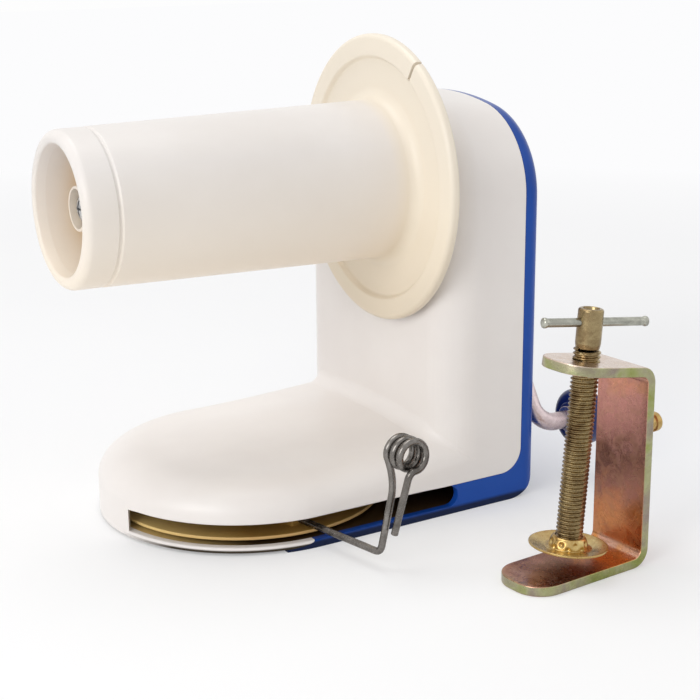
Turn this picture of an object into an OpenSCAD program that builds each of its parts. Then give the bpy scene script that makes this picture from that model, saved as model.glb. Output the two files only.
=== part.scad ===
// Hand-cranked yarn ball winder, with the screw clamp that holds it to a table.
// The origin is on the table, under the middle of the foot's round nose.
// The winding core points toward -X, the crank is at the back (+X), and Z is up.

/* [Body] */
// Gap between the guide's disc and the foot's shell round it
disc_gap = 1.6; // [1.2:0.1:4]
// Width of the body at its back
body_w = 92; // [90:1:98]
// Distance from the nose's centre to the seam between the shells
seam_x = 78.5; // [76:0.5:90]
// Depth of the rear shell behind the seam
rear_depth = 7; // [6:0.5:12]
// Height of the body at the seam
body_h = 131; // [129:1:145]
// Rise of the body's top toward the front, as a share of the distance
top_slope = 0.12; // [0:0.01:0.2]
// Distance from the nose's centre to the upright's face
face_x = 48.3; // [46:0.1:50]
// Radius of the upright's front edges
face_edge_r = 12.6; // [6:0.2:14]
// Radius of the upright's top corners
arch_r = 28; // [22:0.5:32]
// Radius of the rear shell's back edge
rear_edge_r = 5; // [3:0.5:6]
// Radius of the rear shell's lower corner, seen from the side
heel_r = 11; // [6:0.5:14]
// Height of the foot at the nose
foot_h = 23; // [21:0.5:27]
// Height of the foot where it meets the upright
foot_back_h = 26; // [24:0.5:32]
// Wall of both shells
wall = 2.4; // [1.8:0.1:2.8]
// Height of the slot's lower edge over the table
slot_low = 2.6; // [2.4:0.1:3]
// Height of the guide's slot
slot_h = 7.2; // [6.4:0.1:8]
// Distance from the nose's centre to the slot's round end
slot_end_x = 53; // [48:0.5:60]
// Angle from the nose's tip to the slot's start
slot_start_a = 14; // [8:1:30]
// Thickness of the base plate
plate_t = 2.2; // [1.8:0.1:2.2]

/* [Core] */
// Height of the core's axis over the table
core_z = 105.3; // [100:0.1:108]
// Distance of the core's axis from the middle of the body
core_side = 10.5; // [0:0.1:12]
// Diameter of the flange
flange_d = 92.2; // [80:0.2:100]
// Thickness of the flange at its rim
flange_t = 3.2; // [2.6:0.1:5]
// Width of the flange's raised rim
flange_rim_w = 7.5; // [5:0.5:10]
// Gap between the flange and the upright
flange_gap = 2.1; // [1.8:0.1:5]
// Length of the core from the flange's front to its free end
core_l = 107; // [80:1:120]
// Diameter of the core at the flange
core_base_d = 50.8; // [40:0.2:60]
// Diameter of the core at its free end
core_tip_d = 47.2; // [44:0.2:58]
// Diameter of the core's mouth
mouth_d = 37.8; // [32:0.2:40]
// Depth of the core's mouth
mouth_depth = 22; // [12:1:40]
// Wall of the core's tube behind the mouth
core_wall = 2.6; // [2:0.1:4]
// Diameter of the hub inside the core
hub_d = 13.6; // [12:0.2:16]

/* [Drive] */
// Diameter of the core's shaft
shaft_d = 6; // [5:0.1:6.6]
// Size of the gear teeth, as pitch diameter in millimetres over the number of teeth
tooth_module = 1; // [0.8:0.05:1.05]
// Teeth of the pinion on the core's shaft
pinion_teeth = 17; // [15:1:18]
// Teeth of the gear on the crank
gear_teeth = 60; // [40:1:61]
// Width of the gear's teeth
gear_w = 6; // [4:0.5:8]
// Diameter of the crank's rod
rod_d = 6; // [5:0.1:6.6]
// Distance from the crank's axis to the knob's axis
crank_l = 54; // [45:1:56]
// Angle of the crank from straight down
crank_lean = 33.2; // [0:0.1:90]
// Bend radius of the rod next to the body
elbow_r = 3.6; // [3.6:0.1:6]
// Bend radius of the rod next to the knob
knob_elbow_r = 7; // [4:0.5:10]
// Diameter of the knob
knob_d = 19.5; // [16:0.5:24]
// Length of the knob
knob_l = 10; // [8:0.5:30]

/* [Guide] */
// Diameter of the disc that carries the wire
disc_d = 89; // [80:0.5:94]
// Diameter of the guide's wire
wire_d = 2.2; // [1.6:0.1:2.4]
// Distance that the wire stands out past the foot's nose radius
wire_reach = 25.5; // [20:0.5:30]
// Radius of the loops, to the middle of the wire
loop_r = 4.3; // [4:0.1:6]
// Distance from one loop to the next
loop_pitch = 2.9; // [2.8:0.1:4.5]
// Height of the loops' middle over the table
loop_z = 36.6; // [32:0.1:45]

/* [Clamp] */
// Width of the clamp's strip
strip_w = 20.4; // [18:0.2:26]
// Thickness of the clamp's strip
strip_t = 3; // [2.4:0.1:4]
// Bend radius inside the strip's corners
strip_bend_r = 2.5; // [2:0.1:4]
// Length of the lower arm from the web
lower_arm_l = 41.5; // [36:0.5:50]
// Height of the web's straight part
web_h = 51; // [45:0.5:70]
// Length of the upper arm past its bend
upper_arm_l = 26; // [25:0.5:40]
// Rise of the upper arm toward its tip, in degrees
upper_arm_a = 9.5; // [0:0.5:12]
// Corner radius of the arms' tips
tip_r = 8.5; // [4:0.5:9]
// Diameter of the clamp's screw
screw_d = 8; // [7:0.1:8.4]
// Lean of the clamp's screw toward the web, in degrees
screw_lean = 5; // [0:0.1:6]
// Length of the clamp's screw
screw_l = 70.8; // [66:0.2:90]
// Diameter of the clamp's pad
pad_d = 23.4; // [18:0.2:24]
// Length of the screw's bar
bar_l = 34.4; // [30:0.2:60]
// Diameter of the screw's bar
bar_d = 2.6; // [2:0.1:3.2]
// Diameter of the clamp's stud
stud_d = 6; // [5:0.1:6.6]
// Length of the clamp's stud
stud_l = 12; // [10:0.5:14]

/* [Hidden] */

// Radial clearance of a shaft that turns in its bore
run = 0.04;
// Radial clearance of pieces that are pressed or screwed together
press = 0.02;
// Gap along the seam between the shells
seam_gap = 0.15;

// Body
half_w = body_w / 2;
// Radius of the foot's round nose, which goes round the guide's disc
nose_r = disc_d / 2 + disc_gap + wall;
rear_x = seam_x + rear_depth;
slot_top = slot_low + slot_h;
lip_end_x = -1;
// Height of the lip's underside, and the length over which its end thins out to a point
lip_low = 0.9;
lip_taper = 9;
// Direction of the slot's first end, seen from above
slot_cut_a = 60;
seam_corner_r = 7.8;
crown_a = 12;
foot_edge_w = 15;
foot_edge_h = 10;
foot_crown = 1.2;
// Width over which the foot's crown rises, inside its rounded edge
crown_w = nose_r - foot_edge_w - 8;
fillet_r = 5;
foot_rear_x = face_x + face_edge_r + 2;
far = 200;
steps = 6;
arc_steps = 8;
nose_steps = 40;
// Direction of the straight sides' normal, where they leave the nose
side_a = acos(nose_r / norm([seam_x, half_w])) + atan2(half_w, seam_x);
case_boss_r = 3.6;
case_pilot_r = 1.25;
case_screw_r = 1.5;
case_head_r = 2.9;
case_head_h = 2;
case_screw_l = 14;
case_head_x = rear_x - wall - case_head_h - 0.4;
base_end_x = rear_x - heel_r - 0.3;
// The heads of the base screws stay on the base plate
base_screw_x = base_end_x - case_head_r - 1;
base_screw_y = half_w - 10;
base_screw_l = 10;
case_places = [
    [-half_w + 14, body_h - 20], [half_w - 14, body_h - 20],
    [-half_w + 7.5, 42], [half_w - 7.5, 42]
];
base_boss_h = 18;
base_head_h = 0.9;
base_recess = 1.1;
socket_x = face_x + 13.5;
socket_z = 22;
socket_l = 14;
socket_wall = 3.4;

// Shafts and bearings
core_y = -core_side;
shaft_r = shaft_d / 2;
rod_r = rod_d / 2;
bush_wall = 2;
bush_flange_w = 2;
bush_flange_t = 1.2;
boss_wall = 3;
boss_l = 8;
blind_t = 1.4;
inner_face_x = face_x + wall;
inner_rear_x = rear_x - wall;
gear_r = tooth_module * gear_teeth / 2;
pinion_r = tooth_module * pinion_teeth / 2;
crank_z = core_z - gear_r - pinion_r;
gear_x = inner_face_x + boss_l + 4;
gear_hub_l = 6;
gear_hub_end = gear_x + gear_w + gear_hub_l;
gear_pin_x = gear_x + gear_w + gear_hub_l / 2;
gear_pin_r = 1;
clip_t = 0.8;

// Core
flange_back_x = face_x - flange_gap;
flange_x = flange_back_x - flange_t;
tip_x = flange_x - core_l;
groove_x = tip_x + 10.6;
mouth_x = tip_x + 2;
floor_x = mouth_x + mouth_depth;
hub_x = mouth_x + 4;
core_web_t = 3.5;
flange_floor_t = 1.6;
flange_fillet = 4;
notch_a = 123;
notch_w = 1.2;
notch_l = 6.5;
washer_r = 5.4;
washer_t = 1;
core_screw_r = 2;
core_screw_l = 12;
core_head_r = 4.4;
core_head_h = 2.4;
ledge_x = hub_x + 4;

// Crank
arm_x = rear_x + 1.5 + rod_r;
knob_x = arm_x + knob_elbow_r + 6;
knob_edge = 3.2;
knob_washer_t = 0.8;

// Guide
post_r = 3;
disc_z = slot_low + 0.8;
disc_t = 1;
disc_hub_r = 8;
wire_z = slot_low + slot_h / 2 - 0.4;
disc_hub_h = 8.4;
wire_r = wire_d / 2;
elbow_side = 6.9;
elbow = [elbow_side, -(nose_r + wire_reach), wire_z];
// How far the bend at the elbow reaches along both of its sides
elbow_bend = 2.4;
anchor = [-6, -12, wire_z];
block_near = 13;
block_far = 40;
block_w = 7;
// Direction along which the loops follow each other, and the one across it
loop_a = 8;
loop_axis = [sin(loop_a), -cos(loop_a), 0];
loop_side = [cos(loop_a), sin(loop_a), 0];
loop_turns = 2.75;
loop_steps = 24;
loop_middle = [elbow[0] + 6.4, elbow[1] + 0.4, loop_z];
tail_end = [elbow[0] + 3, elbow[1] - 3, wire_z + 6.3];

// Clamp
clamp_x = 72.4;
clamp_y = -91.4;
clamp_turn = 185.4;
bend_out_r = strip_bend_r + strip_t;
upper_bend_z = bend_out_r + web_h;
pad_gap = 4;
pad_t = 1.2;
pad_floor = 0.6;
pad_dish = 1.65;
pad_edge = 0.6;
collar_r = screw_d / 2 + 1.7;
collar_h = 2.9;
screw_foot_x = 20;
screw_foot_z = strip_t + pad_gap + pad_t + pad_floor;
screw_r = screw_d / 2;
thread_l = screw_l - 10.2;
bar_place = screw_l - 4.1;
bar_shift = 1.8;
// Turn of the bar about the screw from the clamp's own direction, in degrees
bar_turn = -14;
bar_r = bar_d / 2;
bar_end_r = bar_r + 0.25;
bar_end_l = 1.2;
stud_z = 40;
stud_groove = 0.6;
// The stud's neck is riveted flush into the web's inner face
stud_neck_r = stud_d / 2 - 0.8;
rivet_h = 1;

// Height of the body's top at a place along it
function top_z(x) = body_h + top_slope * (seam_x - x);

// Height of the foot's top at a place along it
function foot_z(x) = foot_h + (foot_back_h - foot_h) * max(0, x) / face_x;

// Half width of the body at a place along it
function side_y(x, inset) = (nose_r - inset - x * cos(side_a)) / sin(side_a);

// Plan of the body, drawn in by an inset, with its flat end at x_end
function plan(inset, x_end) = concat(
    [[x_end, side_y(x_end, inset)]],
    [for (i = [0:nose_steps])
        let (a = side_a + (360 - 2 * side_a) * i / nose_steps)
        (nose_r - inset) * [cos(a), sin(a)]],
    [[x_end, -side_y(x_end, inset)]]
);

// Section across the upright at x, drawn in by an inset and standing on z = low
function arch(x, inset, low) =
    let (w = side_y(x, inset), r = arch_r - inset, c = w - r)
    let (crown_r = (c + r * sin(crown_a)) / sin(crown_a))
    let (zc = top_z(x) - inset - r * cos(crown_a) - crown_r * (1 - cos(crown_a)))
    let (crown_z = zc + (r - crown_r) * cos(crown_a))
    concat(
        [[x, w, low]],
        [for (i = [0:arc_steps])
            let (a = (90 - crown_a) * i / arc_steps)
            [x, c + r * cos(a), zc + r * sin(a)]],
        [for (i = [1:arc_steps - 1])
            let (a = crown_a * (1 - 2 * i / arc_steps))
            [x, crown_r * sin(a), crown_z + crown_r * cos(a)]],
        [for (i = [arc_steps:-1:0])
            let (a = (90 - crown_a) * i / arc_steps)
            [x, -c - r * cos(a), zc + r * sin(a)]],
        [[x, -w, low]]
    );

// Closed solid over a list of rings that have the same number of points
module skin(rings) {
    n = len(rings[0]);
    last = (len(rings) - 1) * n;
    polyhedron(
        points = [for (ring = rings) each ring],
        faces = concat(
            [[for (i = [0:n - 1]) i]],
            [for (j = [0:len(rings) - 2], i = [0:n - 1])
                [j * n + i, (j + 1) * n + i, (j + 1) * n + (i + 1) % n]],
            [for (j = [0:len(rings) - 2], i = [0:n - 1])
                [j * n + i, (j + 1) * n + (i + 1) % n, j * n + (i + 1) % n]],
            [[for (i = [n - 1:-1:0]) last + i]]
        )
    );
}

// Upright with both shells' rounded edges, drawn in by an inset
module upright(inset, low) {
    front_r = face_edge_r - inset;
    back_r = max(0.6, rear_edge_r - inset);
    // A hair inside the foot's sides, so that the two never share a plane
    shift = inset + 0.02;
    skin(concat(
        [for (i = [0:steps])
            let (a = 90 * i / steps)
            arch(face_x + inset + front_r * (1 - cos(a)), shift + front_r * (1 - sin(a)), low)],
        [for (i = [0:steps])
            let (a = 90 - 90 * i / steps)
            arch(rear_x - inset - back_r * (1 - cos(a)), shift + back_r * (1 - sin(a)), low)]
    ));
}

// One level of the foot, with its height following the foot's top
function foot_ring(inset, drop, x_end) =
    [for (p = plan(inset, x_end)) [p[0], p[1], foot_z(p[0]) - drop]];

// Foot with its rounded top edge and crown, drawn in by an inset
module foot(inset, low, x_end) {
    edge = foot_crown + foot_edge_h;
    skin(concat(
        [[for (p = plan(inset, x_end)) [p[0], p[1], low]]],
        [for (i = [0:steps])
            let (a = 90 * i / steps)
            foot_ring(inset + foot_edge_w * (1 - cos(a)), inset + edge - foot_edge_h * sin(a), x_end)],
        [for (i = [1:4])
            let (s = i / 4, left = (1 - s) * (1 - s) * (1 + 2 * s))
            foot_ring(inset + foot_edge_w + crown_w * s, inset + foot_crown * left, x_end)]
    ));
}

// Height of the foot's rounded top at a place in its plan
function foot_surface(p) =
    let (inset = nose_r - p[0] * cos(side_a) - abs(p[1]) * sin(side_a))
    let (out = 1 - min(1, inset / foot_edge_w))
    let (s = min(1, max(0, (inset - foot_edge_w) / crown_w)))
    foot_z(p[0]) - foot_crown * (1 - s) * (1 - s) * (1 + 2 * s) - foot_edge_h * (1 - sqrt(1 - out * out));

// Section of the foot's fillet at a place on the upright, in the direction a, with its radius there
function fillet_ring(at, a, r, sunk) =
    let (away = [-cos(a), sin(a)], root = 1.5)
    let (curve = [for (i = [0:steps])
        let (b = 90 * i / steps, p = at + (r * (1 - sin(b)) - sunk) * away)
        [p[0], p[1], foot_surface(p) + r * (1 - cos(b)) - sunk]])
    let (inner = at - (sunk + 0.9) * away, low = foot_surface(at) - root)
    concat(curve, [[inner[0], inner[1], curve[steps][2]], [inner[0], inner[1], low - sunk],
        [curve[0][0], curve[0][1], curve[0][2] - root]]);

// Hollow curve where the upright rises out of the foot, sinking into its rounded front edges
module foot_fillet() {
    half_face = side_y(face_x, face_edge_r);
    // How far the curve's own edges lie inside the body, along it and at its two ends
    hair = 0.1;
    end_depth = 1.2;
    last = steps - 2;
    edge_rings = [for (i = [0:last])
        let (a = 90 * i / steps, inset = face_edge_r * (1 - sin(a)))
        let (x = face_x + face_edge_r * (1 - cos(a)))
        [[x, side_y(x, inset)], a, fillet_r * (1 - sin(a)), i < last ? hair : end_depth]];
    skin(concat(
        [for (i = [last:-1:0])
            let (e = edge_rings[i])
            fillet_ring([e[0][0], -e[0][1]], -e[1], e[2], e[3])],
        [for (i = [-2:2]) fillet_ring([face_x, half_face * i / 3], 0, fillet_r, hair)],
        [for (e = edge_rings) fillet_ring(e[0], e[1], e[2], e[3])]
    ));
}

// Outline seen from the side, with the rounded heel
module side_cut(inset, low) {
    r = heel_r - inset;
    rotate([90, 0, 0])
        linear_extrude(far, center = true)
            polygon(concat(
                [[-far, low], [rear_x - heel_r, low], [rear_x - heel_r, inset]],
                [for (i = [0:arc_steps])
                    let (a = -90 + 90 * i / arc_steps)
                    [rear_x - heel_r + r * cos(a), heel_r + r * sin(a)]],
                [[rear_x - inset, far], [-far, far]]
            ));
}

module body_outside() {
    intersection() {
        union() {
            foot(0, 0, foot_rear_x);
            upright(0, 0);
            foot_fillet();
        }
        side_cut(0, -1);
    }
}

module body_inside() {
    intersection() {
        union() {
            foot(wall, -1, foot_rear_x);
            upright(wall, -1);
        }
        side_cut(wall, -2);
    }
}

// Everything on the front shell's side of the seam, with the lip's end thinning out to a point
module front_zone(gap) {
    r = seam_corner_r + gap;
    cx = seam_x - seam_corner_r;
    cz = slot_top + seam_corner_r;
    taper_x = lip_end_x - lip_taper;
    rotate([90, 0, 0])
        linear_extrude(far, center = true)
            polygon(concat(
                [[-far, -2], [taper_x, -2]],
                [for (i = [0:arc_steps])
                    let (a = 90 * i / arc_steps)
                    [taper_x + (lip_taper + gap) * sin(a), slot_low - (slot_low - lip_low + gap) * cos(a)]],
                [[lip_end_x + gap, slot_top - gap], [cx, slot_top - gap]],
                [for (i = [0:arc_steps])
                    let (a = -90 + 90 * i / arc_steps)
                    [cx + r * cos(a), cz + r * sin(a)]],
                [[seam_x + gap, far], [-far, far]]
            ));
}

// Space under the lip, which ends a little over the table
module under_lip() {
    translate([-far, -far / 2, -1])
        cube([far + lip_end_x, far, 1 + lip_low]);
}

// Slot round the near side of the nose, with its round end
module guide_slot() {
    end_r = slot_h / 2;
    start = -nose_r * [cos(slot_start_a), sin(slot_start_a)];
    along = [cos(slot_cut_a), sin(slot_cut_a)];
    inner = start + 2 * wall * along;
    translate([0, 0, slot_low])
        linear_extrude(slot_h)
            polygon([inner, start - far * along, [slot_end_x - end_r, -far], [slot_end_x - end_r, inner[1]]]);
    translate([slot_end_x - end_r, inner[1], slot_low + end_r])
        rotate([90, 0, 0])
            cylinder(r = end_r, h = far, $fn = 48);
}

// Round bar along +X from x0 to x1, on the line through y and z
module bar_x(r, x0, x1, y, z, facets = 64) {
    translate([x0, y, z])
        rotate([0, 90, 0])
            cylinder(r = r, h = x1 - x0, $fn = facets);
}

// Ring along +X, with its bore
module tube_x(r, bore, x0, x1, y, z) {
    difference() {
        bar_x(r, x0, x1, y, z);
        bar_x(bore, x0 - 1, x1 + 1, y, z);
    }
}

bush_r = shaft_r + bush_wall;
crank_bush_r = rod_r + bush_wall;

module front_shell() {
    color("seashell")
        difference() {
            union() {
                intersection() {
                    difference() {
                        body_outside();
                        body_inside();
                        guide_slot();
                        under_lip();
                    }
                    front_zone(0);
                }
                intersection() {
                    union() {
                        bar_x(bush_r + boss_wall, face_x, inner_face_x + boss_l, core_y, core_z);
                        bar_x(crank_bush_r + boss_wall, face_x, inner_face_x + boss_l, core_y, crank_z);
                        for (p = case_places)
                            bar_x(case_boss_r, face_x, seam_x - 0.5, p[0], p[1], 32);
                        for (side = [-1, 1])
                            base_boss(side);
                        clamp_socket_boss();
                    }
                    // Stops every boss in the middle of the shell's wall
                    upright(wall / 2, -1);
                }
            }
            bar_x(bush_r + press, face_x - 5, inner_face_x + boss_l + 1, core_y, core_z);
            bar_x(crank_bush_r + press, inner_face_x + blind_t, inner_face_x + boss_l + 1, core_y, crank_z);
            for (p = case_places)
                bar_x(case_pilot_r, case_head_x - case_screw_l - 1, seam_x + 1, p[0], p[1], 32);
            for (side = [-1, 1])
                translate([base_screw_x, side * base_screw_y, 0])
                    cylinder(r = case_pilot_r, h = base_boss_h - 2, $fn = 32);
            clamp_socket_bore();
        }
}

// Post for a base screw, tied to the shell's side wall
module base_boss(side) {
    wall_y = side_y(base_screw_x, wall / 2);
    translate([base_screw_x, side * base_screw_y, slot_low])
        cylinder(r = case_boss_r, h = base_boss_h - slot_low, $fn = 32);
    translate([base_screw_x - 1, side > 0 ? base_screw_y : -wall_y, slot_top + 2])
        cube([2, wall_y - base_screw_y, base_boss_h - slot_top - 2]);
}

module clamp_socket_boss() {
    translate([socket_x, half_w - socket_l - 1, socket_z])
        rotate([-90, 0, 0])
            cylinder(r = stud_d / 2 + socket_wall, h = socket_l + 4, $fn = 48);
}

module clamp_socket_bore() {
    translate([socket_x, side_y(socket_x, 0) - socket_l, socket_z])
        rotate([-90, 0, 0])
            cylinder(r = stud_d / 2 + 0.1, h = socket_l + 5, $fn = 64);
}

module rear_shell() {
    color("royalblue")
        difference() {
            union() {
                difference() {
                    body_outside();
                    body_inside();
                    front_zone(seam_gap);
                    guide_slot();
                }
                bar_x(bush_r + boss_wall, inner_rear_x - boss_l + 1, inner_rear_x + 0.5, core_y, core_z);
                bar_x(crank_bush_r + boss_wall, inner_rear_x - boss_l + 1, inner_rear_x + 0.5, core_y, crank_z);
                for (p = case_places)
                    bar_x(case_head_r + 1.8, seam_x + seam_gap, inner_rear_x + 0.5, p[0], p[1], 32);
            }
            bar_x(bush_r + press, inner_rear_x - boss_l, inner_rear_x - blind_t + 0.8, core_y, core_z);
            bar_x(crank_bush_r + press, inner_rear_x - boss_l, rear_x + 1, core_y, crank_z);
            for (p = case_places) {
                bar_x(case_screw_r + 0.2, seam_x - 1, rear_x, p[0], p[1], 32);
                bar_x(case_head_r + 0.2, case_head_x, rear_x + 1, p[0], p[1], 48);
            }
        }
}

module base_plate() {
    rim = wall + 0.2;
    color("lightgray")
        difference() {
            linear_extrude(plate_t)
                polygon(plan(rim, base_end_x));
            translate([0, 0, -1])
                cylinder(r = post_r + press, h = 10, $fn = 64);
            for (side = [-1, 1])
                translate([base_screw_x, side * base_screw_y, -1]) {
                    cylinder(r = case_screw_r + 0.2, h = 10, $fn = 32);
                    cylinder(r = case_head_r + 0.2, h = 1 + base_recess, $fn = 48);
                }
        }
}

// Screw with a low round head, its head's flat on z = 0 and its shank up
module pan_screw(shank_r, shank_l, head_r, head_h) {
    cylinder(r = shank_r, h = shank_l, $fn = 32);
    difference() {
        rotate_extrude($fn = 48)
            intersection() {
                translate([0, -head_h]) square([head_r, head_h]);
                dome_outline(head_r, head_h);
            }
        for (turn = [0, 90])
            rotate(turn)
                translate([-head_r * 0.55, -0.35, -head_h - 1])
                    cube([head_r * 1.1, 0.7, 1 + head_h * 0.5]);
    }
}

// Low dome whose edge is a third of the head's height
module dome_outline(head_r, head_h) {
    dome_h = head_h * 2 / 3;
    dome_r = (head_r * head_r + dome_h * dome_h) / (2 * dome_h);
    translate([0, -head_h + dome_r])
        circle(r = dome_r, $fn = 128);
}

module base_screws() {
    color("silver")
        for (side = [-1, 1])
            translate([base_screw_x, side * base_screw_y, base_recess - 0.02])
                pan_screw(case_pilot_r - press, base_screw_l, case_head_r, base_head_h);
}

module case_screws() {
    color("silver")
        for (p = case_places)
            translate([case_head_x, p[0], p[1]])
                rotate([0, -90, 0])
                    pan_screw(case_pilot_r - press, case_screw_l, case_head_r, case_head_h);
}

module front_core_bush() {
    color("darkgoldenrod")
        difference() {
            union() {
                bar_x(bush_r, face_x - 0.1, inner_face_x + boss_l - 0.2, core_y, core_z);
                bar_x(bush_r + bush_flange_w, face_x - bush_flange_t - 0.02, face_x - 0.02, core_y, core_z);
            }
            bar_x(shaft_r + run, face_x - 10, inner_face_x + boss_l + 10, core_y, core_z);
        }
}

module rear_core_bush() {
    color("darkgoldenrod")
        tube_x(bush_r, shaft_r + run, inner_rear_x - boss_l + 1.2, inner_rear_x - blind_t, core_y, core_z);
}

module front_crank_bush() {
    color("darkgoldenrod")
        tube_x(crank_bush_r, rod_r + run, inner_face_x + blind_t + 0.1, inner_face_x + boss_l - 0.2,
            core_y, crank_z);
}

module rear_crank_bush() {
    color("darkgoldenrod")
        tube_x(crank_bush_r, rod_r + run, inner_rear_x - boss_l + 1.2, rear_x + 0.2, core_y, crank_z);
}

module guide_post() {
    color("silver")
        difference() {
            union() {
                cylinder(r = post_r, h = disc_z + disc_hub_h + 2.2, $fn = 64);
                translate([0, 0, plate_t + 0.02])
                    cylinder(r = post_r + 2.5, h = disc_z - 0.15 - plate_t - 0.02, $fn = 64);
            }
            clip_groove([0, 0, disc_z + disc_hub_h + 0.3], post_r);
        }
}

// Groove for a clip round a standing post
module clip_groove(at, r) {
    translate(at)
        difference() {
            cylinder(r = r + 1, h = clip_t + 0.1, $fn = 64);
            translate([0, 0, -1]) cylinder(r = r - 0.5, h = clip_t + 3, $fn = 64);
        }
}

// Snap clip with its open side toward +X, lying flat
module snap_clip(r) {
    difference() {
        cylinder(r = r + 2.2, h = clip_t, $fn = 48);
        translate([0, 0, -1]) cylinder(r = r - 0.5 + press, h = clip_t + 2, $fn = 48);
        translate([0, -r * 0.6, -1]) cube([r + 5, r * 1.2, clip_t + 2]);
    }
}

module guide_clip() {
    color("dimgray")
        translate([0, 0, disc_z + disc_hub_h + 0.35])
            snap_clip(post_r);
}

// Section of the core: distance from the axis, then place along X
function core_section() = [
    [shaft_r + press, flange_back_x],
    [hub_d / 2, flange_back_x],
    [hub_d / 2, floor_x + core_web_t],
    [core_tip_d / 2 - core_wall, floor_x + core_web_t],
    [core_base_d / 2 - core_wall, flange_back_x],
    [flange_d / 2 - 0.6, flange_back_x],
    [flange_d / 2, flange_back_x - 0.8],
    [flange_d / 2, flange_x + 1.2],
    [flange_d / 2 - 1.6, flange_x],
    [flange_d / 2 - flange_rim_w + 1.2, flange_x],
    [flange_d / 2 - flange_rim_w, flange_back_x - flange_floor_t],
    [core_base_d / 2 + flange_fillet, flange_back_x - flange_floor_t],
    each [for (i = [1:5])
        let (a = 90 * i / 6)
        [core_base_d / 2 + flange_fillet * (1 - sin(a)),
            flange_back_x - flange_floor_t - flange_fillet * (1 - cos(a))]],
    [core_base_d / 2, flange_back_x - flange_floor_t - flange_fillet],
    [core_tip_d / 2 + 0.1, groove_x + 0.6],
    [core_tip_d / 2 - 0.4, groove_x + 0.3],
    [core_tip_d / 2 - 0.4, groove_x - 0.3],
    [core_tip_d / 2, groove_x - 0.6],
    [core_tip_d / 2 - 0.2, tip_x + 3],
    [core_tip_d / 2 - 1, tip_x + 1],
    [core_tip_d / 2 - 2.6, tip_x],
    [mouth_d / 2 + 0.7, tip_x + 0.5],
    [mouth_d / 2, mouth_x],
    [mouth_d / 2 - 3.4, floor_x - 2],
    [mouth_d / 2 - 5, floor_x],
    [hub_d / 2, floor_x],
    [hub_d / 2, hub_x + 0.4],
    [hub_d / 2 - 0.4, hub_x],
    [washer_r + 0.5, hub_x],
    [washer_r + 0.5, ledge_x],
    [shaft_r + press, ledge_x]
];

module yarn_core() {
    color("antiquewhite")
        difference() {
            translate([0, core_y, core_z])
                rotate([90, 0, 90])
                    rotate_extrude($fn = 128)
                        polygon(core_section());
            translate([flange_x - 5, core_y, core_z])
                rotate([notch_a, 0, 0])
                    translate([0, flange_d / 2 - notch_l, -notch_w / 2])
                        cube([flange_t + 10, notch_l + 5, notch_w]);
        }
}

module core_shaft() {
    color("silver")
        difference() {
            bar_x(shaft_r, ledge_x + 0.1, inner_rear_x - blind_t - 0.2, core_y, core_z);
            bar_x(core_screw_r + press, ledge_x - 1, ledge_x + core_screw_l + 1, core_y, core_z);
            clip_groove_x(inner_face_x + boss_l + 0.3, shaft_r, core_z);
        }
}

// Groove for a clip round a shaft along X
module clip_groove_x(x, r, z) {
    translate([x, core_y, z])
        rotate([0, 90, 0])
            clip_groove([0, 0, 0], r);
}

// Involute of an angle, in degrees
function involute(a) = tan(a) * 180 / PI - a;

// Half angle of a tooth at a distance from the gear's centre
function tooth_half(teeth, pitch_r, r) =
    let (base = pitch_r * cos(20))
    90 * 0.93 / teeth + involute(20) - involute(acos(min(1, base / max(r, base))));

// Outline of a spur gear, with a tooth's middle at the start angle
function gear_points(teeth, start) =
    let (pitch_r = tooth_module * teeth / 2)
    let (levels = [pitch_r - 1.15 * tooth_module, pitch_r - 0.4 * tooth_module, pitch_r,
        pitch_r + 0.9 * tooth_module])
    [for (t = [0:teeth - 1], side = [-1, 1], k = [0:3])
        let (r = levels[side < 0 ? k : 3 - k])
        let (a = start + 360 * t / teeth + side * tooth_half(teeth, pitch_r, r))
        r * [cos(a), sin(a)]];

// Flat blank in the plane across X, its profile's first axis along Y and second along Z
module across_x(x0, t, z) {
    translate([x0, core_y, z])
        rotate([90, 0, 90])
            linear_extrude(t)
                children();
}

module core_pinion() {
    color("ivory")
        difference() {
            union() {
                across_x(gear_x - 0.5, gear_w + 1, core_z)
                    polygon(gear_points(pinion_teeth, -90 + 180 / pinion_teeth));
                bar_x(shaft_r + 2.2, gear_x - 2.4, gear_x, core_y, core_z);
            }
            bar_x(shaft_r + press, gear_x - 10, gear_x + gear_w + 10, core_y, core_z);
        }
}

module core_clip() {
    color("dimgray")
        translate([inner_face_x + boss_l + 0.35, core_y, core_z])
            rotate([0, 90, 0])
                snap_clip(shaft_r);
}

module core_washer() {
    color("silver")
        tube_x(washer_r, core_screw_r + press, ledge_x - washer_t - 0.02, ledge_x - 0.02, core_y, core_z);
}

module core_screw() {
    color("silver")
        translate([ledge_x - washer_t - 0.04, core_y, core_z])
            rotate([0, 90, 0])
                pan_screw(core_screw_r, core_screw_l, core_head_r, core_head_h);
}

// Quarter bend of a round rod: from along +Y at (r, 0) round to along -X at (0, r)
module quarter_bend(bend_r, r) {
    rotate_extrude(angle = 90, $fn = 96)
        translate([bend_r, 0])
            circle(r = r, $fn = 48);
}

// Children in the crank's own frame: shaft along X, arm along -Z
module crank_frame() {
    translate([0, core_y, crank_z])
        rotate([-crank_lean, 0, 0])
            children();
}

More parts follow.
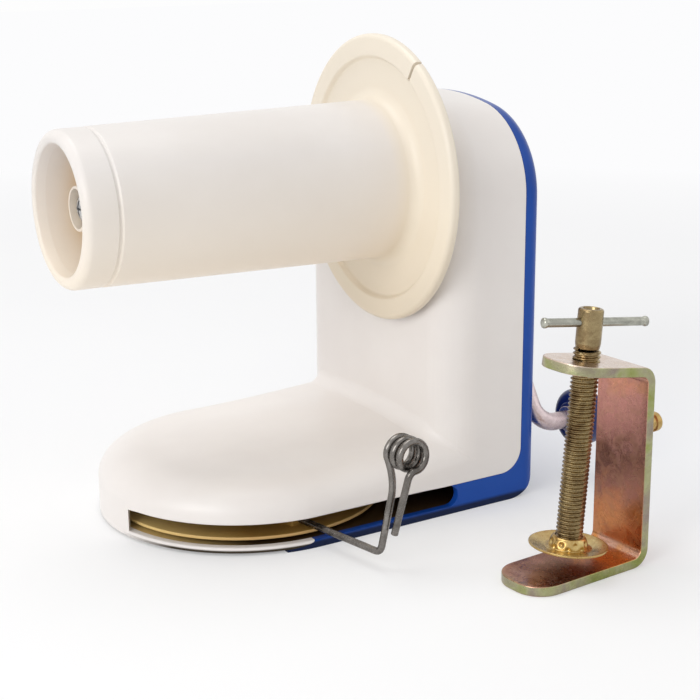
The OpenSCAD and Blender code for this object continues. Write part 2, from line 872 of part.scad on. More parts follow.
module crank_rod() {
    shaft_from = inner_face_x + blind_t + 0.3;
    knob_end = knob_x + knob_l + 0.2 + knob_washer_t;
    color("rosybrown")
        crank_frame()
            difference() {
                union() {
                    bar_x(rod_r, shaft_from, arm_x - elbow_r, 0, 0);
                    translate([arm_x - elbow_r, 0, -elbow_r])
                        rotate([90, 0, 0])
                            quarter_bend(elbow_r, rod_r);
                    translate([arm_x, 0, -crank_l + knob_elbow_r])
                        cylinder(r = rod_r, h = crank_l - elbow_r - knob_elbow_r, $fn = 64);
                    translate([arm_x + knob_elbow_r, 0, -crank_l + knob_elbow_r])
                        rotate([90, 180, 0])
                            quarter_bend(knob_elbow_r, rod_r);
                    bar_x(rod_r, arm_x + knob_elbow_r, knob_end, 0, -crank_l);
                    bar_x(rod_r + 1, knob_end, knob_end + 1, 0, -crank_l);
                    bar_x(rod_r + 1.4, knob_x - 1.1, knob_x - 0.1, 0, -crank_l);
                }
                rod_pin_hole();
            }
}

// Cross hole for the pin that drives the gear
module rod_pin_hole() {
    translate([gear_pin_x, 0, 0])
        cylinder(r = gear_pin_r + press, h = far, center = true, $fn = 32);
}

module crank_gear() {
    web_r = gear_r - 5;
    hub_r = rod_r + 3;
    color("ivory")
        difference() {
            union() {
                across_x(gear_x, gear_w, crank_z)
                    polygon(gear_points(gear_teeth, 90));
                bar_x(hub_r, gear_x - 3, gear_hub_end, core_y, crank_z);
            }
            difference() {
                union() {
                    bar_x(web_r, gear_x - 1, gear_x + 1.6, core_y, crank_z, 96);
                    bar_x(web_r, gear_x + gear_w - 1.6, gear_x + gear_w + 1, core_y, crank_z, 96);
                }
                bar_x(hub_r, gear_x - 4, gear_x + gear_w + 7, core_y, crank_z);
            }
            for (turn = [0:60:300])
                crank_frame()
                    rotate([turn + 30, 0, 0])
                        bar_x(4.5, gear_x - 5, gear_x + gear_w + 5, 0, (hub_r + web_r) / 2, 48);
            bar_x(rod_r + press, gear_x - 10, gear_x + gear_w + 10, core_y, crank_z);
            crank_frame()
                rod_pin_hole();
        }
}

module gear_pin() {
    color("dimgray")
        crank_frame()
            translate([gear_pin_x, 0, 0])
                cylinder(r = gear_pin_r, h = 2 * rod_r + 6.4, center = true, $fn = 32);
}

module crank_clip() {
    color("dimgray")
        tube_x(rod_r + 2, rod_r + press, gear_hub_end + 0.2, gear_hub_end + 0.2 + clip_t, core_y, crank_z);
}

module crank_knob() {
    edge = knob_edge;
    r = knob_d / 2;
    color("midnightblue")
        crank_frame()
            translate([knob_x, 0, -crank_l])
                rotate([0, 90, 0])
                    rotate_extrude($fn = 96)
                        polygon(concat(
                            [[rod_r + run, 0]],
                            [for (i = [0:steps])
                                let (a = 90 * i / steps)
                                [r - edge + edge * sin(a), edge - edge * cos(a)]],
                            [for (i = [0:steps])
                                let (a = 90 * i / steps)
                                [r - edge + edge * cos(a), knob_l - edge + edge * sin(a)]],
                            [[rod_r + run, knob_l]]
                        ));
}

module knob_washer() {
    color("silver")
        crank_frame()
            tube_x(rod_r + 2.4, rod_r + press, knob_x + knob_l + 0.15, knob_x + knob_l + 0.15 + knob_washer_t,
                0, -crank_l);
}

// Vector of the same direction with length 1
function unit(v) = v / norm(v);
wire_out = unit(elbow - anchor);

module guide_disc() {
    hub_top = disc_z + disc_hub_h;
    color("wheat")
        difference() {
            union() {
                translate([0, 0, disc_z]) cylinder(r = disc_d / 2, h = disc_t, $fn = 128);
                translate([0, 0, disc_z]) cylinder(r = disc_hub_r, h = disc_hub_h, $fn = 64);
                translate([anchor[0], anchor[1], disc_z])
                    rotate(atan2(wire_out[1], wire_out[0]))
                        translate([0, -block_w / 2, 0])
                            cube([block_far - block_near, block_w, wire_z + wire_r + 1.6 - disc_z]);
            }
            translate([0, 0, disc_z - 1]) cylinder(r = post_r + run, h = hub_top, $fn = 64);
            translate(anchor - 3 * wire_out)
                rotate([0, 90, atan2(wire_out[1], wire_out[0])])
                    cylinder(r = wire_r + press, h = far, $fn = 48);
        }
}

// Points of a smooth corner at b, between a point before it and a point after it
function corner(a, b, c, n) = [for (i = [0:n])
    let (t = i / n)
    a * (1 - t) * (1 - t) + b * 2 * t * (1 - t) + c * t * t];

// A point of the loops, by the angle turned since the wire came up on their far side
function loop_point(a) = loop_middle + loop_r * (sin(a) * [0, 0, 1] - cos(a) * loop_side)
    + loop_axis * loop_pitch * a / 360;

loop_start = loop_point(0);
loop_stop = loop_point(360 * loop_turns);
leg_top = loop_start + [2.8, 0, -8.4];
leg_up = unit(leg_top - elbow);
tail_top = loop_stop - 2.4 * loop_side - [0, 0, 0.2];
tail_down = unit(tail_end - tail_top);
wire_loops = [for (i = [0:loop_steps * loop_turns]) loop_point(360 * i / loop_steps)];
wire_route = concat(
    [anchor],
    corner(elbow - elbow_bend * wire_out, elbow, elbow + elbow_bend * leg_up, 6),
    corner(leg_top - 6 * leg_up, leg_top, loop_start - [0, 0, 1], 5),
    wire_loops,
    corner(loop_stop - 0.6 * loop_side, tail_top, tail_top + 2.4 * tail_down, 6),
    [tail_end]
);

// Tube along a list of points, with six sides that keep one direction toward a steady vector
module wire_tube(route, r, steady) {
    last = len(route) - 1;
    rings = [for (i = [0:last])
        let (t = unit(route[min(i + 1, last)] - route[max(i - 1, 0)]))
        let (n = unit(steady - t * (steady * t)), b = cross(t, n))
        [for (k = [0:5]) route[i] + r * (cos(60 * k) * n + sin(60 * k) * b)]];
    skin(rings);
}

module guide_wire() {
    color("gray")
        wire_tube(wire_route, wire_r, loop_axis);
}

// Least gap between two turns of the wire, measured on its points
far_pairs = [for (i = [0:len(wire_route) - 2], j = [i + 14:1:len(wire_route) - 1])
    norm(wire_route[i] - wire_route[j]) - wire_d];
echo(least_wire_gap = min(far_pairs));

// Children in the clamp's own frame: X from the web toward the tips, Y across the strip
module clamp_frame() {
    translate([clamp_x, clamp_y, 0])
        rotate(clamp_turn)
            children();
}

// Children in the screw's own frame: Z up along it from its foot
module screw_frame() {
    clamp_frame()
        translate([screw_foot_x, strip_w / 2, screw_foot_z])
            rotate([0, -screw_lean, 0])
                children();
}

// Points of an arc in the strip's side view
function bend_arc(centre, r, from, to) = [for (i = [0:arc_steps])
    let (a = from + (to - from) * i / arc_steps)
    centre + r * [cos(a), sin(a)]];

// Side view of the bent strip: outside from the lower tip to the upper one, and back inside
function strip_outline() =
    let (low = [strip_bend_r, bend_out_r], high = [strip_bend_r, upper_bend_z])
    let (out_a = 90 + upper_arm_a, along = upper_arm_l * [cos(upper_arm_a), sin(upper_arm_a)])
    concat(
        [[lower_arm_l, 0]],
        bend_arc(low, bend_out_r, 270, 180),
        bend_arc(high, bend_out_r, 180, out_a),
        [high + along + bend_out_r * [cos(out_a), sin(out_a)]],
        [high + along + strip_bend_r * [cos(out_a), sin(out_a)]],
        bend_arc(high, strip_bend_r, out_a, 180),
        bend_arc(low, strip_bend_r, 180, 270),
        [[lower_arm_l, strip_t]]
    );

// What the round corners of a tip at x = l take away from both edges of the strip
module tip_corners(l) {
    for (side = [0, 1])
        translate([l - tip_r, side * strip_w, -far / 2])
            mirror([0, side, 0])
                linear_extrude(far)
                    polygon(concat(
                        [[0, -1], [tip_r + 1, -1], [tip_r + 1, tip_r]],
                        [for (i = [0:arc_steps])
                            let (a = 90 * i / arc_steps)
                            [tip_r * cos(a), tip_r - tip_r * sin(a)]]
                    ));
}

module clamp_bracket() {
    color("darkkhaki")
        difference() {
            clamp_frame()
                difference() {
                    translate([0, strip_w, 0])
                        rotate([90, 0, 0])
                            linear_extrude(strip_w)
                                polygon(strip_outline());
                    intersection() {
                        tip_corners(lower_arm_l);
                        translate([0, -far / 2, -1]) cube([far, far, strip_t + 2]);
                    }
                    translate([strip_bend_r, 0, upper_bend_z])
                        rotate([0, -upper_arm_a, 0])
                            intersection() {
                                tip_corners(upper_arm_l);
                                translate([0, -far / 2, 0]) cube([far, far, bend_out_r + 1]);
                            }
                }
            screw_frame()
                cylinder(r = screw_r + run, h = 2 * screw_l, $fn = 64);
            clamp_frame()
                translate([-strip_t - 1, strip_w / 2, stud_z])
                    rotate([0, 90, 0]) {
                        cylinder(r = stud_neck_r + press, h = strip_t + 2, $fn = 48);
                        translate([0, 0, strip_t])
                            cylinder(r1 = stud_neck_r + press, r2 = stud_neck_r + rivet_h + press,
                                h = rivet_h + 0.01, $fn = 48);
                    }
        }
}

module clamp_stud() {
    r = stud_d / 2;
    color("silver")
        clamp_frame()
            translate([0, strip_w / 2, stud_z])
                rotate([0, -90, 0])
                    rotate_extrude($fn = 64)
                        polygon([
                            [0, 0], [stud_neck_r + rivet_h, 0], [stud_neck_r, rivet_h],
                            [stud_neck_r, strip_t + 0.02], [r, strip_t + 0.02],
                            [r, strip_t + stud_l - 4], [r - stud_groove, strip_t + stud_l - 3.6],
                            [r - stud_groove, strip_t + stud_l - 2.4], [r, strip_t + stud_l - 2],
                            [r, strip_t + stud_l - 0.6], [r - 0.6, strip_t + stud_l], [0, strip_t + stud_l]
                        ]);
}

// Dished pad with the collar that holds it on the screw
module clamp_pad() {
    low = -pad_t - pad_floor;
    pad_r = pad_d / 2;
    rim = low + pad_dish;
    color("goldenrod")
        screw_frame()
            difference() {
                rotate_extrude($fn = 96)
                    polygon([
                        [0, low], [collar_r + 0.5, low], [pad_r, rim], [pad_r, rim + pad_edge - 0.1],
                        [pad_r - 0.3, rim + pad_edge], [collar_r + 1.3, low + pad_t],
                        [collar_r, low + pad_t + 0.4], [collar_r - 0.4, collar_h - 0.8],
                        [collar_r - 1.2, collar_h], [0, collar_h]
                    ]);
                translate([0, 0, -pad_floor])
                    cylinder(r = screw_r + run, h = far, $fn = 64);
            }
}

module clamp_screw() {
    color("tan")
        screw_frame()
            difference() {
                union() {
                    translate([0, 0, -0.5]) cylinder(r = screw_r, h = 0.5 + thread_l, $fn = 64);
                    translate([0, 0, thread_l]) cylinder(r = screw_r - 0.25, h = screw_l - thread_l, $fn = 64);
                }
                translate([0, 0, bar_place])
                    rotate([0, 90, bar_turn])
                        cylinder(r = bar_r + run, h = far, center = true, $fn = 48);
                translate([0, 0, screw_l - 1.6])
                    cylinder(r = screw_r - 1.6, h = 5, $fn = 48);
            }
}

module clamp_bar() {
    color("darkgray")
        screw_frame()
            translate([0, 0, bar_place])
                rotate([0, 90, bar_turn])
                    translate([0, 0, -bar_l / 2 - bar_shift]) {
                        cylinder(r = bar_r, h = bar_l, $fn = 48);
                        cylinder(r = bar_end_r, h = bar_end_l, $fn = 48);
                        translate([0, 0, bar_l - bar_end_l]) cylinder(r = bar_end_r, h = bar_end_l, $fn = 48);
                    }
}

front_shell();
rear_shell();
base_plate();
base_screws();
case_screws();
front_core_bush();
rear_core_bush();
front_crank_bush();
rear_crank_bush();
guide_post();
guide_clip();
yarn_core();
core_shaft();
core_pinion();
core_clip();
core_washer();
core_screw();
crank_rod();
crank_gear();
gear_pin();
crank_clip();
crank_knob();
knob_washer();
guide_disc();
guide_wire();
clamp_bracket();
clamp_stud();
clamp_pad();
clamp_screw();
clamp_bar();
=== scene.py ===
import math
import bmesh
import bpy
from mathutils import Matrix, Vector


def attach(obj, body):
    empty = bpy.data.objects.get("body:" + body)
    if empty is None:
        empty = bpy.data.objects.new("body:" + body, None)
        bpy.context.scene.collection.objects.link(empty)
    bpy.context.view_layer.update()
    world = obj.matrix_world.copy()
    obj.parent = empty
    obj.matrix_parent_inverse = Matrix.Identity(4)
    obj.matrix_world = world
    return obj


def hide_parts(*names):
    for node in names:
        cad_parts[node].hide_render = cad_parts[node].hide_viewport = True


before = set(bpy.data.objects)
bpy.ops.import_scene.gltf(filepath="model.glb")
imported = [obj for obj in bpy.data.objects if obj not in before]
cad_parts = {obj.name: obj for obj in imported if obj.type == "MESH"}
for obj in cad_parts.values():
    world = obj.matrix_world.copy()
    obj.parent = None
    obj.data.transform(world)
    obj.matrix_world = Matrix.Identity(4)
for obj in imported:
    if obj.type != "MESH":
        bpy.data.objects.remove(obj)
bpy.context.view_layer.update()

mm = 0.001  # shapes are worked out in millimetres and scaled once, in finishPiece
print("frame loaded:", len(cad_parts), "nodes")


# Shared tools
def turnPoint(distance, angle):
    return distance * math.cos(angle), distance * math.sin(angle)


def makeObject(bm, name):
    mesh = bpy.data.meshes.new(name)
    bm.to_mesh(mesh)
    bm.free()
    obj = bpy.data.objects.new(name, mesh)
    bpy.context.scene.collection.objects.link(obj)
    return obj


def takeMesh(obj):
    bm = bmesh.new()
    bm.from_mesh(obj.data)
    bpy.data.objects.remove(obj)
    return bm


def combine(target, other, operation):
    # one exact boolean, applied at once; the other object is used up
    step = target.modifiers.new("combine", "BOOLEAN")
    step.object = other
    step.operation = operation
    step.solver = "EXACT"
    shaped = target.evaluated_get(bpy.context.evaluated_depsgraph_get())
    mesh = bpy.data.meshes.new_from_object(shaped)
    target.modifiers.clear()
    target.data = mesh
    bpy.data.objects.remove(other)
    return target


def gridSkin(across, along, place):
    # a grid whose columns wrap round a ring, each vertex moved by place(column, row)
    bm = bmesh.new()
    bmesh.ops.create_grid(bm, x_segments=across, y_segments=along, size=1)
    for vert in bm.verts:
        column = round((vert.co.x + 1) / 2 * across)
        row = round((vert.co.y + 1) / 2 * along)
        vert.co = place(column, row)
    bmesh.ops.remove_doubles(bm, verts=bm.verts, dist=1e-4)
    bmesh.ops.holes_fill(bm, edges=bm.edges, sides=0)
    bmesh.ops.recalc_face_normals(bm, faces=bm.faces)
    return bm


def ringSkin(rings):
    count = len(rings[0])
    return gridSkin(count, len(rings) - 1, lambda column, row: Vector(rings[row][column % count]))


def turned(profile, centre, axis, side, steps=96, closed=False):
    # spins a profile of (distance, along) points round an axis
    bm = bmesh.new()
    centre, axis, side = Vector(centre), Vector(axis).normalized(), Vector(side).normalized()
    verts = [bm.verts.new(centre + side * distance + axis * along) for distance, along in profile]
    for first, second in zip(verts, verts[1:]):
        bm.edges.new((first, second))
    if closed:
        bm.edges.new((verts[-1], verts[0]))
    bmesh.ops.spin(bm, geom=bm.verts[:] + bm.edges[:], cent=centre, axis=axis, angle=2 * math.pi,
                   steps=steps, use_merge=True, use_duplicate=False)
    bmesh.ops.remove_doubles(bm, verts=bm.verts, dist=1e-4)
    bmesh.ops.holes_fill(bm, edges=bm.edges, sides=0)
    bmesh.ops.recalc_face_normals(bm, faces=bm.faces)
    return bm


def roundedPath(points, closed=False, steps=5):
    # path of (x, y, radius) corners, each turned into a short arc of its radius
    path = []
    count = len(points)
    for index, (x, y, radius) in enumerate(points):
        here = Vector((x, y))
        before, after = Vector(points[index - 1][:2]), Vector(points[(index + 1) % count][:2])
        isEnd = not closed and index in (0, count - 1)
        if isEnd or radius <= 0:
            path.append((x, y))
            continue
        inward, outward = (before - here).normalized(), (after - here).normalized()
        opening = inward.angle(outward)
        if opening > math.pi - 0.02:
            path.append((x, y))
            continue
        reach = radius / math.tan(opening / 2)
        middle = here + (inward + outward).normalized() * radius / math.sin(opening / 2)
        start, stop = here + inward * reach, here + outward * reach
        fromAngle = math.atan2(start.y - middle.y, start.x - middle.x)
        sweep = math.atan2(stop.y - middle.y, stop.x - middle.x) - fromAngle
        sweep = (sweep + math.pi) % (2 * math.pi) - math.pi
        for step in range(steps + 1):
            dx, dy = turnPoint(radius, fromAngle + sweep * step / steps)
            path.append((middle.x + dx, middle.y + dy))
    return path


def rod(radius, start, stop, steps=48):
    # plain round bar, used to cut and to add
    start, stop = Vector(start), Vector(stop)
    axis = (stop - start).normalized()
    side = axis.orthogonal()
    length = (stop - start).length
    return turned([(0, 0), (radius, 0), (radius, length), (0, length)], start, axis, side, steps)


def slab(outline, thickness, place):
    # flat outline of (x, y) points, given a thickness and moved by place(x, y, z)
    bm = bmesh.new()
    face = bm.faces.new([bm.verts.new((x, y, 0)) for x, y in outline])
    top = bmesh.ops.extrude_face_region(bm, geom=[face])["geom"]
    bmesh.ops.translate(bm, vec=(0, 0, thickness), verts=[v for v in top if isinstance(v, bmesh.types.BMVert)])
    for vert in bm.verts:
        vert.co = place(*vert.co)
    bmesh.ops.recalc_face_normals(bm, faces=bm.faces)
    return bm


def curveTube(points, radius, roundness=5):
    # round bar along a path of close points
    data = bpy.data.curves.new("path", "CURVE")
    data.dimensions = "3D"
    data.bevel_depth = radius
    data.bevel_resolution = roundness
    data.use_fill_caps = True
    spline = data.splines.new("POLY")
    spline.points.add(len(points) - 1)
    for point, place in zip(spline.points, points):
        point.co = (*place, 1)
    obj = bpy.data.objects.new("path", data)
    bpy.context.scene.collection.objects.link(obj)
    mesh = bpy.data.meshes.new_from_object(obj.evaluated_get(bpy.context.evaluated_depsgraph_get()))
    bpy.data.objects.remove(obj)
    bm = bmesh.new()
    bm.from_mesh(mesh)
    bmesh.ops.remove_doubles(bm, verts=bm.verts, dist=1e-4)
    bmesh.ops.recalc_face_normals(bm, faces=bm.faces)
    return bm


def joined(*parts):
    whole = bmesh.new()
    for part in parts:
        mesh = bpy.data.meshes.new("part")
        part.to_mesh(mesh)
        part.free()
        whole.from_mesh(mesh)
        bpy.data.meshes.remove(mesh)
    return whole


def finishPiece(bm, name, body, slotName, replaced, sharp=32, material=None):
    # scales to metres, smooths the shading between sharp edges and hands the piece to its body
    bmesh.ops.scale(bm, vec=(mm, mm, mm), verts=bm.verts)
    obj = makeObject(bm, name)
    for face in obj.data.polygons:
        face.use_smooth = True
    obj.data.set_sharp_from_angle(angle=math.radians(sharp))
    normals = obj.modifiers.new("even shading", "WEIGHTED_NORMAL")
    normals.keep_sharp = True
    obj.data.materials.clear()
    obj.data.materials.append(material or finishes[slotName])
    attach(obj, body)
    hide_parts(*replaced)
    return obj


# Finishes
coreY, coreZ, crankZ = -10.5, 105.3, 66.8  # axes of the core and the crank
clampPlace, clampTurn = Vector((72.4, -91.4, 0)), math.radians(185.4)


def colour(code):
    parts = [int(code[i:i + 2], 16) / 255 for i in (0, 2, 4)]
    return [c / 12.92 if c <= 0.04045 else ((c + 0.055) / 1.055) ** 2.4 for c in parts] + [1]


class Finish:
    # a material under construction, with short ways to add its nodes

    def __init__(self, name, rough=0.4, metal=0.0, specular=0.5):
        self.material = bpy.data.materials.new(name)
        self.material.use_nodes = True
        self.nodes = self.material.node_tree.nodes
        self.links = self.material.node_tree.links
        self.shader = self.nodes["Principled BSDF"]
        self.shader.inputs["Roughness"].default_value = rough
        self.shader.inputs["Metallic"].default_value = metal
        self.shader.inputs["Specular IOR Level"].default_value = specular
        placing = self.nodes.new("ShaderNodeTexCoord")
        self.coords, self.normals = placing.outputs["Object"], placing.outputs["Normal"]

    def moved(self, centre=(0, 0, 0), turn=(0, 0, 0), stretch=(1, 1, 1)):
        node = self.nodes.new("ShaderNodeMapping")
        node.vector_type = "TEXTURE"
        node.inputs["Location"].default_value = centre
        node.inputs["Rotation"].default_value = turn
        node.inputs["Scale"].default_value = stretch
        self.links.new(self.coords, node.inputs["Vector"])
        return node.outputs["Vector"]

    def along(self, axis, vector=None):
        node = self.nodes.new("ShaderNodeSeparateXYZ")
        self.links.new(vector or self.coords, node.inputs["Vector"])
        return node.outputs[axis]

    def distance(self, vector):
        node = self.nodes.new("ShaderNodeVectorMath")
        node.operation = "LENGTH"
        self.links.new(vector, node.inputs[0])
        return node.outputs["Value"]

    def facing(self, direction):
        # how squarely the surface faces along a direction, either way
        node = self.nodes.new("ShaderNodeVectorMath")
        node.operation = "DOT_PRODUCT"
        node.inputs[1].default_value = direction
        self.links.new(self.normals, node.inputs[0])
        return self.sums("ABSOLUTE", node.outputs["Value"], 0)

    def noise(self, size, detail=3, rough=0.5, warp=0.0, vector=None):
        node = self.nodes.new("ShaderNodeTexNoise")
        node.inputs["Scale"].default_value = 1 / size
        node.inputs["Detail"].default_value = detail
        node.inputs["Roughness"].default_value = rough
        node.inputs["Distortion"].default_value = warp
        self.links.new(vector or self.coords, node.inputs["Vector"])
        return node.outputs["Fac"]

    def ramp(self, value, *stops):
        node = self.nodes.new("ShaderNodeValToRGB")
        ends = node.color_ramp.elements
        while len(ends) < len(stops):
            ends.new(0.5)
        for end, (place, shade) in zip(ends, sorted(stops)):
            end.position = place
            end.color = colour(shade) if isinstance(shade, str) else (shade, shade, shade, 1)
        self.links.new(value, node.inputs["Fac"])
        return node.outputs["Color"]

    def spread(self, value, low, high, start=0.3, stop=0.7):
        node = self.nodes.new("ShaderNodeMapRange")
        node.inputs["From Min"].default_value = start
        node.inputs["From Max"].default_value = stop
        node.inputs["To Min"].default_value = low
        node.inputs["To Max"].default_value = high
        self.links.new(value, node.inputs["Value"])
        return node.outputs["Result"]

    def sums(self, operation, first, second):
        node = self.nodes.new("ShaderNodeMath")
        node.operation = operation
        for socket, value in zip(node.inputs, (first, second)):
            if isinstance(value, (int, float)):
                socket.default_value = value
            else:
                self.links.new(value, socket)
        return node.outputs["Value"]

    def blend(self, factor, first, second, mode="MIX"):
        node = self.nodes.new("ShaderNodeMix")
        node.data_type = "RGBA"
        node.blend_type = mode
        for index, value in ((0, factor), (6, first), (7, second)):
            socket = node.inputs[index]
            if isinstance(value, str):
                socket.default_value = colour(value)
            elif isinstance(value, (int, float)):
                socket.default_value = value
            else:
                self.links.new(value, socket)
        return node.outputs[2]

    def relief(self, height, strength, depth):
        node = self.nodes.new("ShaderNodeBump")
        node.inputs["Strength"].default_value = strength
        node.inputs["Distance"].default_value = depth
        self.links.new(height, node.inputs["Height"])
        if self.shader.inputs["Normal"].is_linked:
            before = self.shader.inputs["Normal"].links[0].from_socket
            self.links.new(before, node.inputs["Normal"])
        self.links.new(node.outputs["Normal"], self.shader.inputs["Normal"])

    def paint(self, shade):
        self.links.new(shade, self.shader.inputs["Base Color"])

    def gloss(self, value):
        self.links.new(value, self.shader.inputs["Roughness"])


def plasticFinish(name, shade, darker, rough=0.32, specular=0.4, grain=0.03, paintedLight=None):
    # moulded plastic: cloudy tone, faint flow marks, handling scuffs and a fine moulded grain
    made = Finish(name, rough, specular=specular)
    clouds = made.noise(0.045, 4, 0.55)
    tone = made.ramp(clouds, (0.3, darker), (0.62, shade))
    flow = made.noise(0.006, 2, 0.4, 1.2, made.moved(stretch=(1, 1, 0.12)))
    tone = made.blend(made.spread(flow, 0, 0.1), tone, darker)
    # an optional layer of painted light and shade goes over the tone
    made.paint(paintedLight(made, tone) if paintedLight else tone)
    scuffs = made.noise(0.003, 4, 0.6, 0.6, made.moved(stretch=(0.4, 1, 1)))
    made.gloss(made.spread(made.sums("ADD", made.sums("MULTIPLY", scuffs, 0.12), made.sums("MULTIPLY", clouds, 0.88)),
                           rough - 0.02, rough + 0.04))
    made.relief(made.noise(0.0007, 2), grain, 0.00012)
    made.relief(made.noise(0.02, 2), 0.025, 0.0006)
    return made.material


def whiteLipPaintedShadow(made, tone):
    # painted shadow: a dark brown line on the lowest part of the lip under the slot, on the near side, where the lip
    # meets the base plate
    line = made.spread(made.along("Z"), 1, 0, 0.0015, 0.0019)
    near = made.spread(made.along("Y"), 1, 0, -0.028, -0.008)
    return made.blend(made.sums("MULTIPLY", line, near), tone, "2E220E")


def corePaintedLight(made, tone):
    # painted light and shade: a warmer tone painted increasingly toward the underside, the flange painted lighter at
    # its top and darker toward its bottom as light shining through it, and an amber shade painted on the upper wall
    # deep in the mouth
    height = made.along("Z")
    # painted shade: warmer tone growing toward the underside
    tone = made.blend(made.spread(height, 0.9, 0, (coreZ - 22) * mm, (coreZ + 14) * mm), tone, "F1E4D1")
    # painted light through the flange: lighter at its top, darker below
    flange = made.spread(made.along("X"), 0, 0.7, 0.036, 0.043)
    flangeTone = made.blend(made.spread(height, 1, 0, 0.056, 0.1), "EBDFC9", "CFC0A6")
    tone = made.blend(flange, tone, flangeTone)
    # painted shade: amber on the upper wall deep in the mouth, weaker on the lower wall
    fromAxis = made.distance(made.moved((0, coreY * mm, coreZ * mm), stretch=(1e6, 1, 1)))
    depth = made.spread(made.along("X"), 0, 0.9, -0.061, -0.046)
    inside = made.sums("MULTIPLY", made.spread(fromAxis, 1, 0, 0.0175, 0.0186), depth)
    mouthShadeByHeight = made.spread(height, 0.35, 1, (coreZ - 16) * mm, (coreZ - 9) * mm)
    return made.blend(made.sums("MULTIPLY", inside, mouthShadeByHeight), tone, "D6B98C")


def bluePaintedShade(made, tone):
    # painted shade: darker navy toward the table
    return made.blend(made.spread(made.along("Z"), 0.9, 0, 0.0017, 0.0028), tone, "060F26")


def innerPaintedLight(made, tone):
    # painted light and shade: the base plate painted dark brown as the shade inside the body, the disc golden with a
    # lighter rim painted as a highlight on its edge, and a bright golden painted toward the nose as light coming in
    # through the slot
    # painted highlight on the disc's rim
    rim = made.spread(made.distance(made.moved(stretch=(1, 1, 1e6))), 0, 1, 0.0440, 0.0443)
    tone = made.blend(rim, tone, "D2AC70")
    # painted shade: the base plate dark brown
    tone = made.blend(made.spread(made.along("Z"), 1, 0, 0.0024, 0.0030), tone, "3C2A14")
    # painted light: bright golden toward the nose
    return made.blend(made.spread(made.along("X"), 0.85, 0, -0.046, -0.018), tone, "F2D48C")


def metalFinish(name, shade, darker, rough=0.3, scale=0.0012, drawn=(1, 1, 1), strength=0.12, tarnish=0.35):
    # plated or bare metal: drawing marks, cloudy tarnish, dull spots and light pitting
    made = Finish(name, rough, 1)
    marks = made.noise(scale, 4, 0.6, 0, made.moved(stretch=drawn))
    clouds = made.noise(0.008, 5, 0.6, 0.8)
    tone = made.ramp(clouds, (0.32, darker), (0.6, shade))
    tone = made.blend(made.spread(marks, 0, tarnish), tone, darker)
    made.paint(tone)
    made.gloss(made.spread(made.sums("ADD", made.sums("MULTIPLY", marks, 0.6), made.sums("MULTIPLY", clouds, 0.4)),
                           rough - 0.1, rough + 0.16))
    made.relief(marks, strength, 0.00008)
    return made.material


def zincFinish():
    # yellow zinc: rose, orange and brown on the strip's faces, olive and cream on its edges
    made = Finish("yellow zinc", 0.3, 1)
    inFrame = made.moved(clampPlace * mm, (0, 0, clampTurn))
    reach, height = made.along("X", inFrame), made.along("Z")
    clouds = made.noise(0.014, 4, 0.55, 1.5)
    fine = made.noise(0.004, 5, 0.65, 0.8)
    web = made.ramp(made.sums("DIVIDE", made.sums("ADD", height, made.spread(clouds, -0.006, 0.006)), 0.062),
                    (0.0, "8C4C3C"), (0.12, "C88050"), (0.24, "C07A58"), (0.4, "9C6860"), (0.5, "906058"),
                    (0.64, "BC8480"), (0.8, "CC908C"), (0.92, "D89880"), (1.0, "C48C84"))
    arm = made.ramp(made.sums("DIVIDE", made.sums("ADD", reach, made.spread(clouds, -0.004, 0.004)), 0.042),
                    (0.0, "E4B8A8"), (0.1, "DC9440"), (0.28, "D0802C"), (0.42, "8C4420"), (0.58, "6A2E18"),
                    (0.74, "945C48"), (0.88, "B88878"), (1.0, "AC9878"))
    tone = made.blend(made.spread(height, 1, 0, 0.003, 0.006), web, arm)
    tone = made.blend(made.spread(height, 0, 1, 0.0575, 0.0595), tone, "DCCCC0")
    tone = made.blend(made.spread(fine, 0, 0.3), tone, "D0A880")
    onArm = made.spread(reach, 0, 1, 0.002, 0.004)
    sideways = made.sums("SUBTRACT", 1, made.facing((0, 0, 1)))
    edge = made.sums("MAXIMUM", made.facing((-math.sin(clampTurn), math.cos(clampTurn), 0)),
                     made.sums("MULTIPLY", onArm, sideways))
    edgeTone = made.ramp(made.noise(0.009, 3, 0.5, 0.5), (0.3, "988C82"), (0.5, "AAAA84"), (0.7, "96A05C"))
    tone = made.blend(made.spread(edge, 0, 1, 0.5, 0.9), tone, edgeTone)
    made.paint(made.blend(made.spread(made.noise(0.0011, 3), 0, 0.2), tone, "705038"))
    made.gloss(made.spread(fine, 0.18, 0.36))
    made.relief(made.noise(0.0009, 4, 0.6), 0.08, 0.0001)
    return made.material


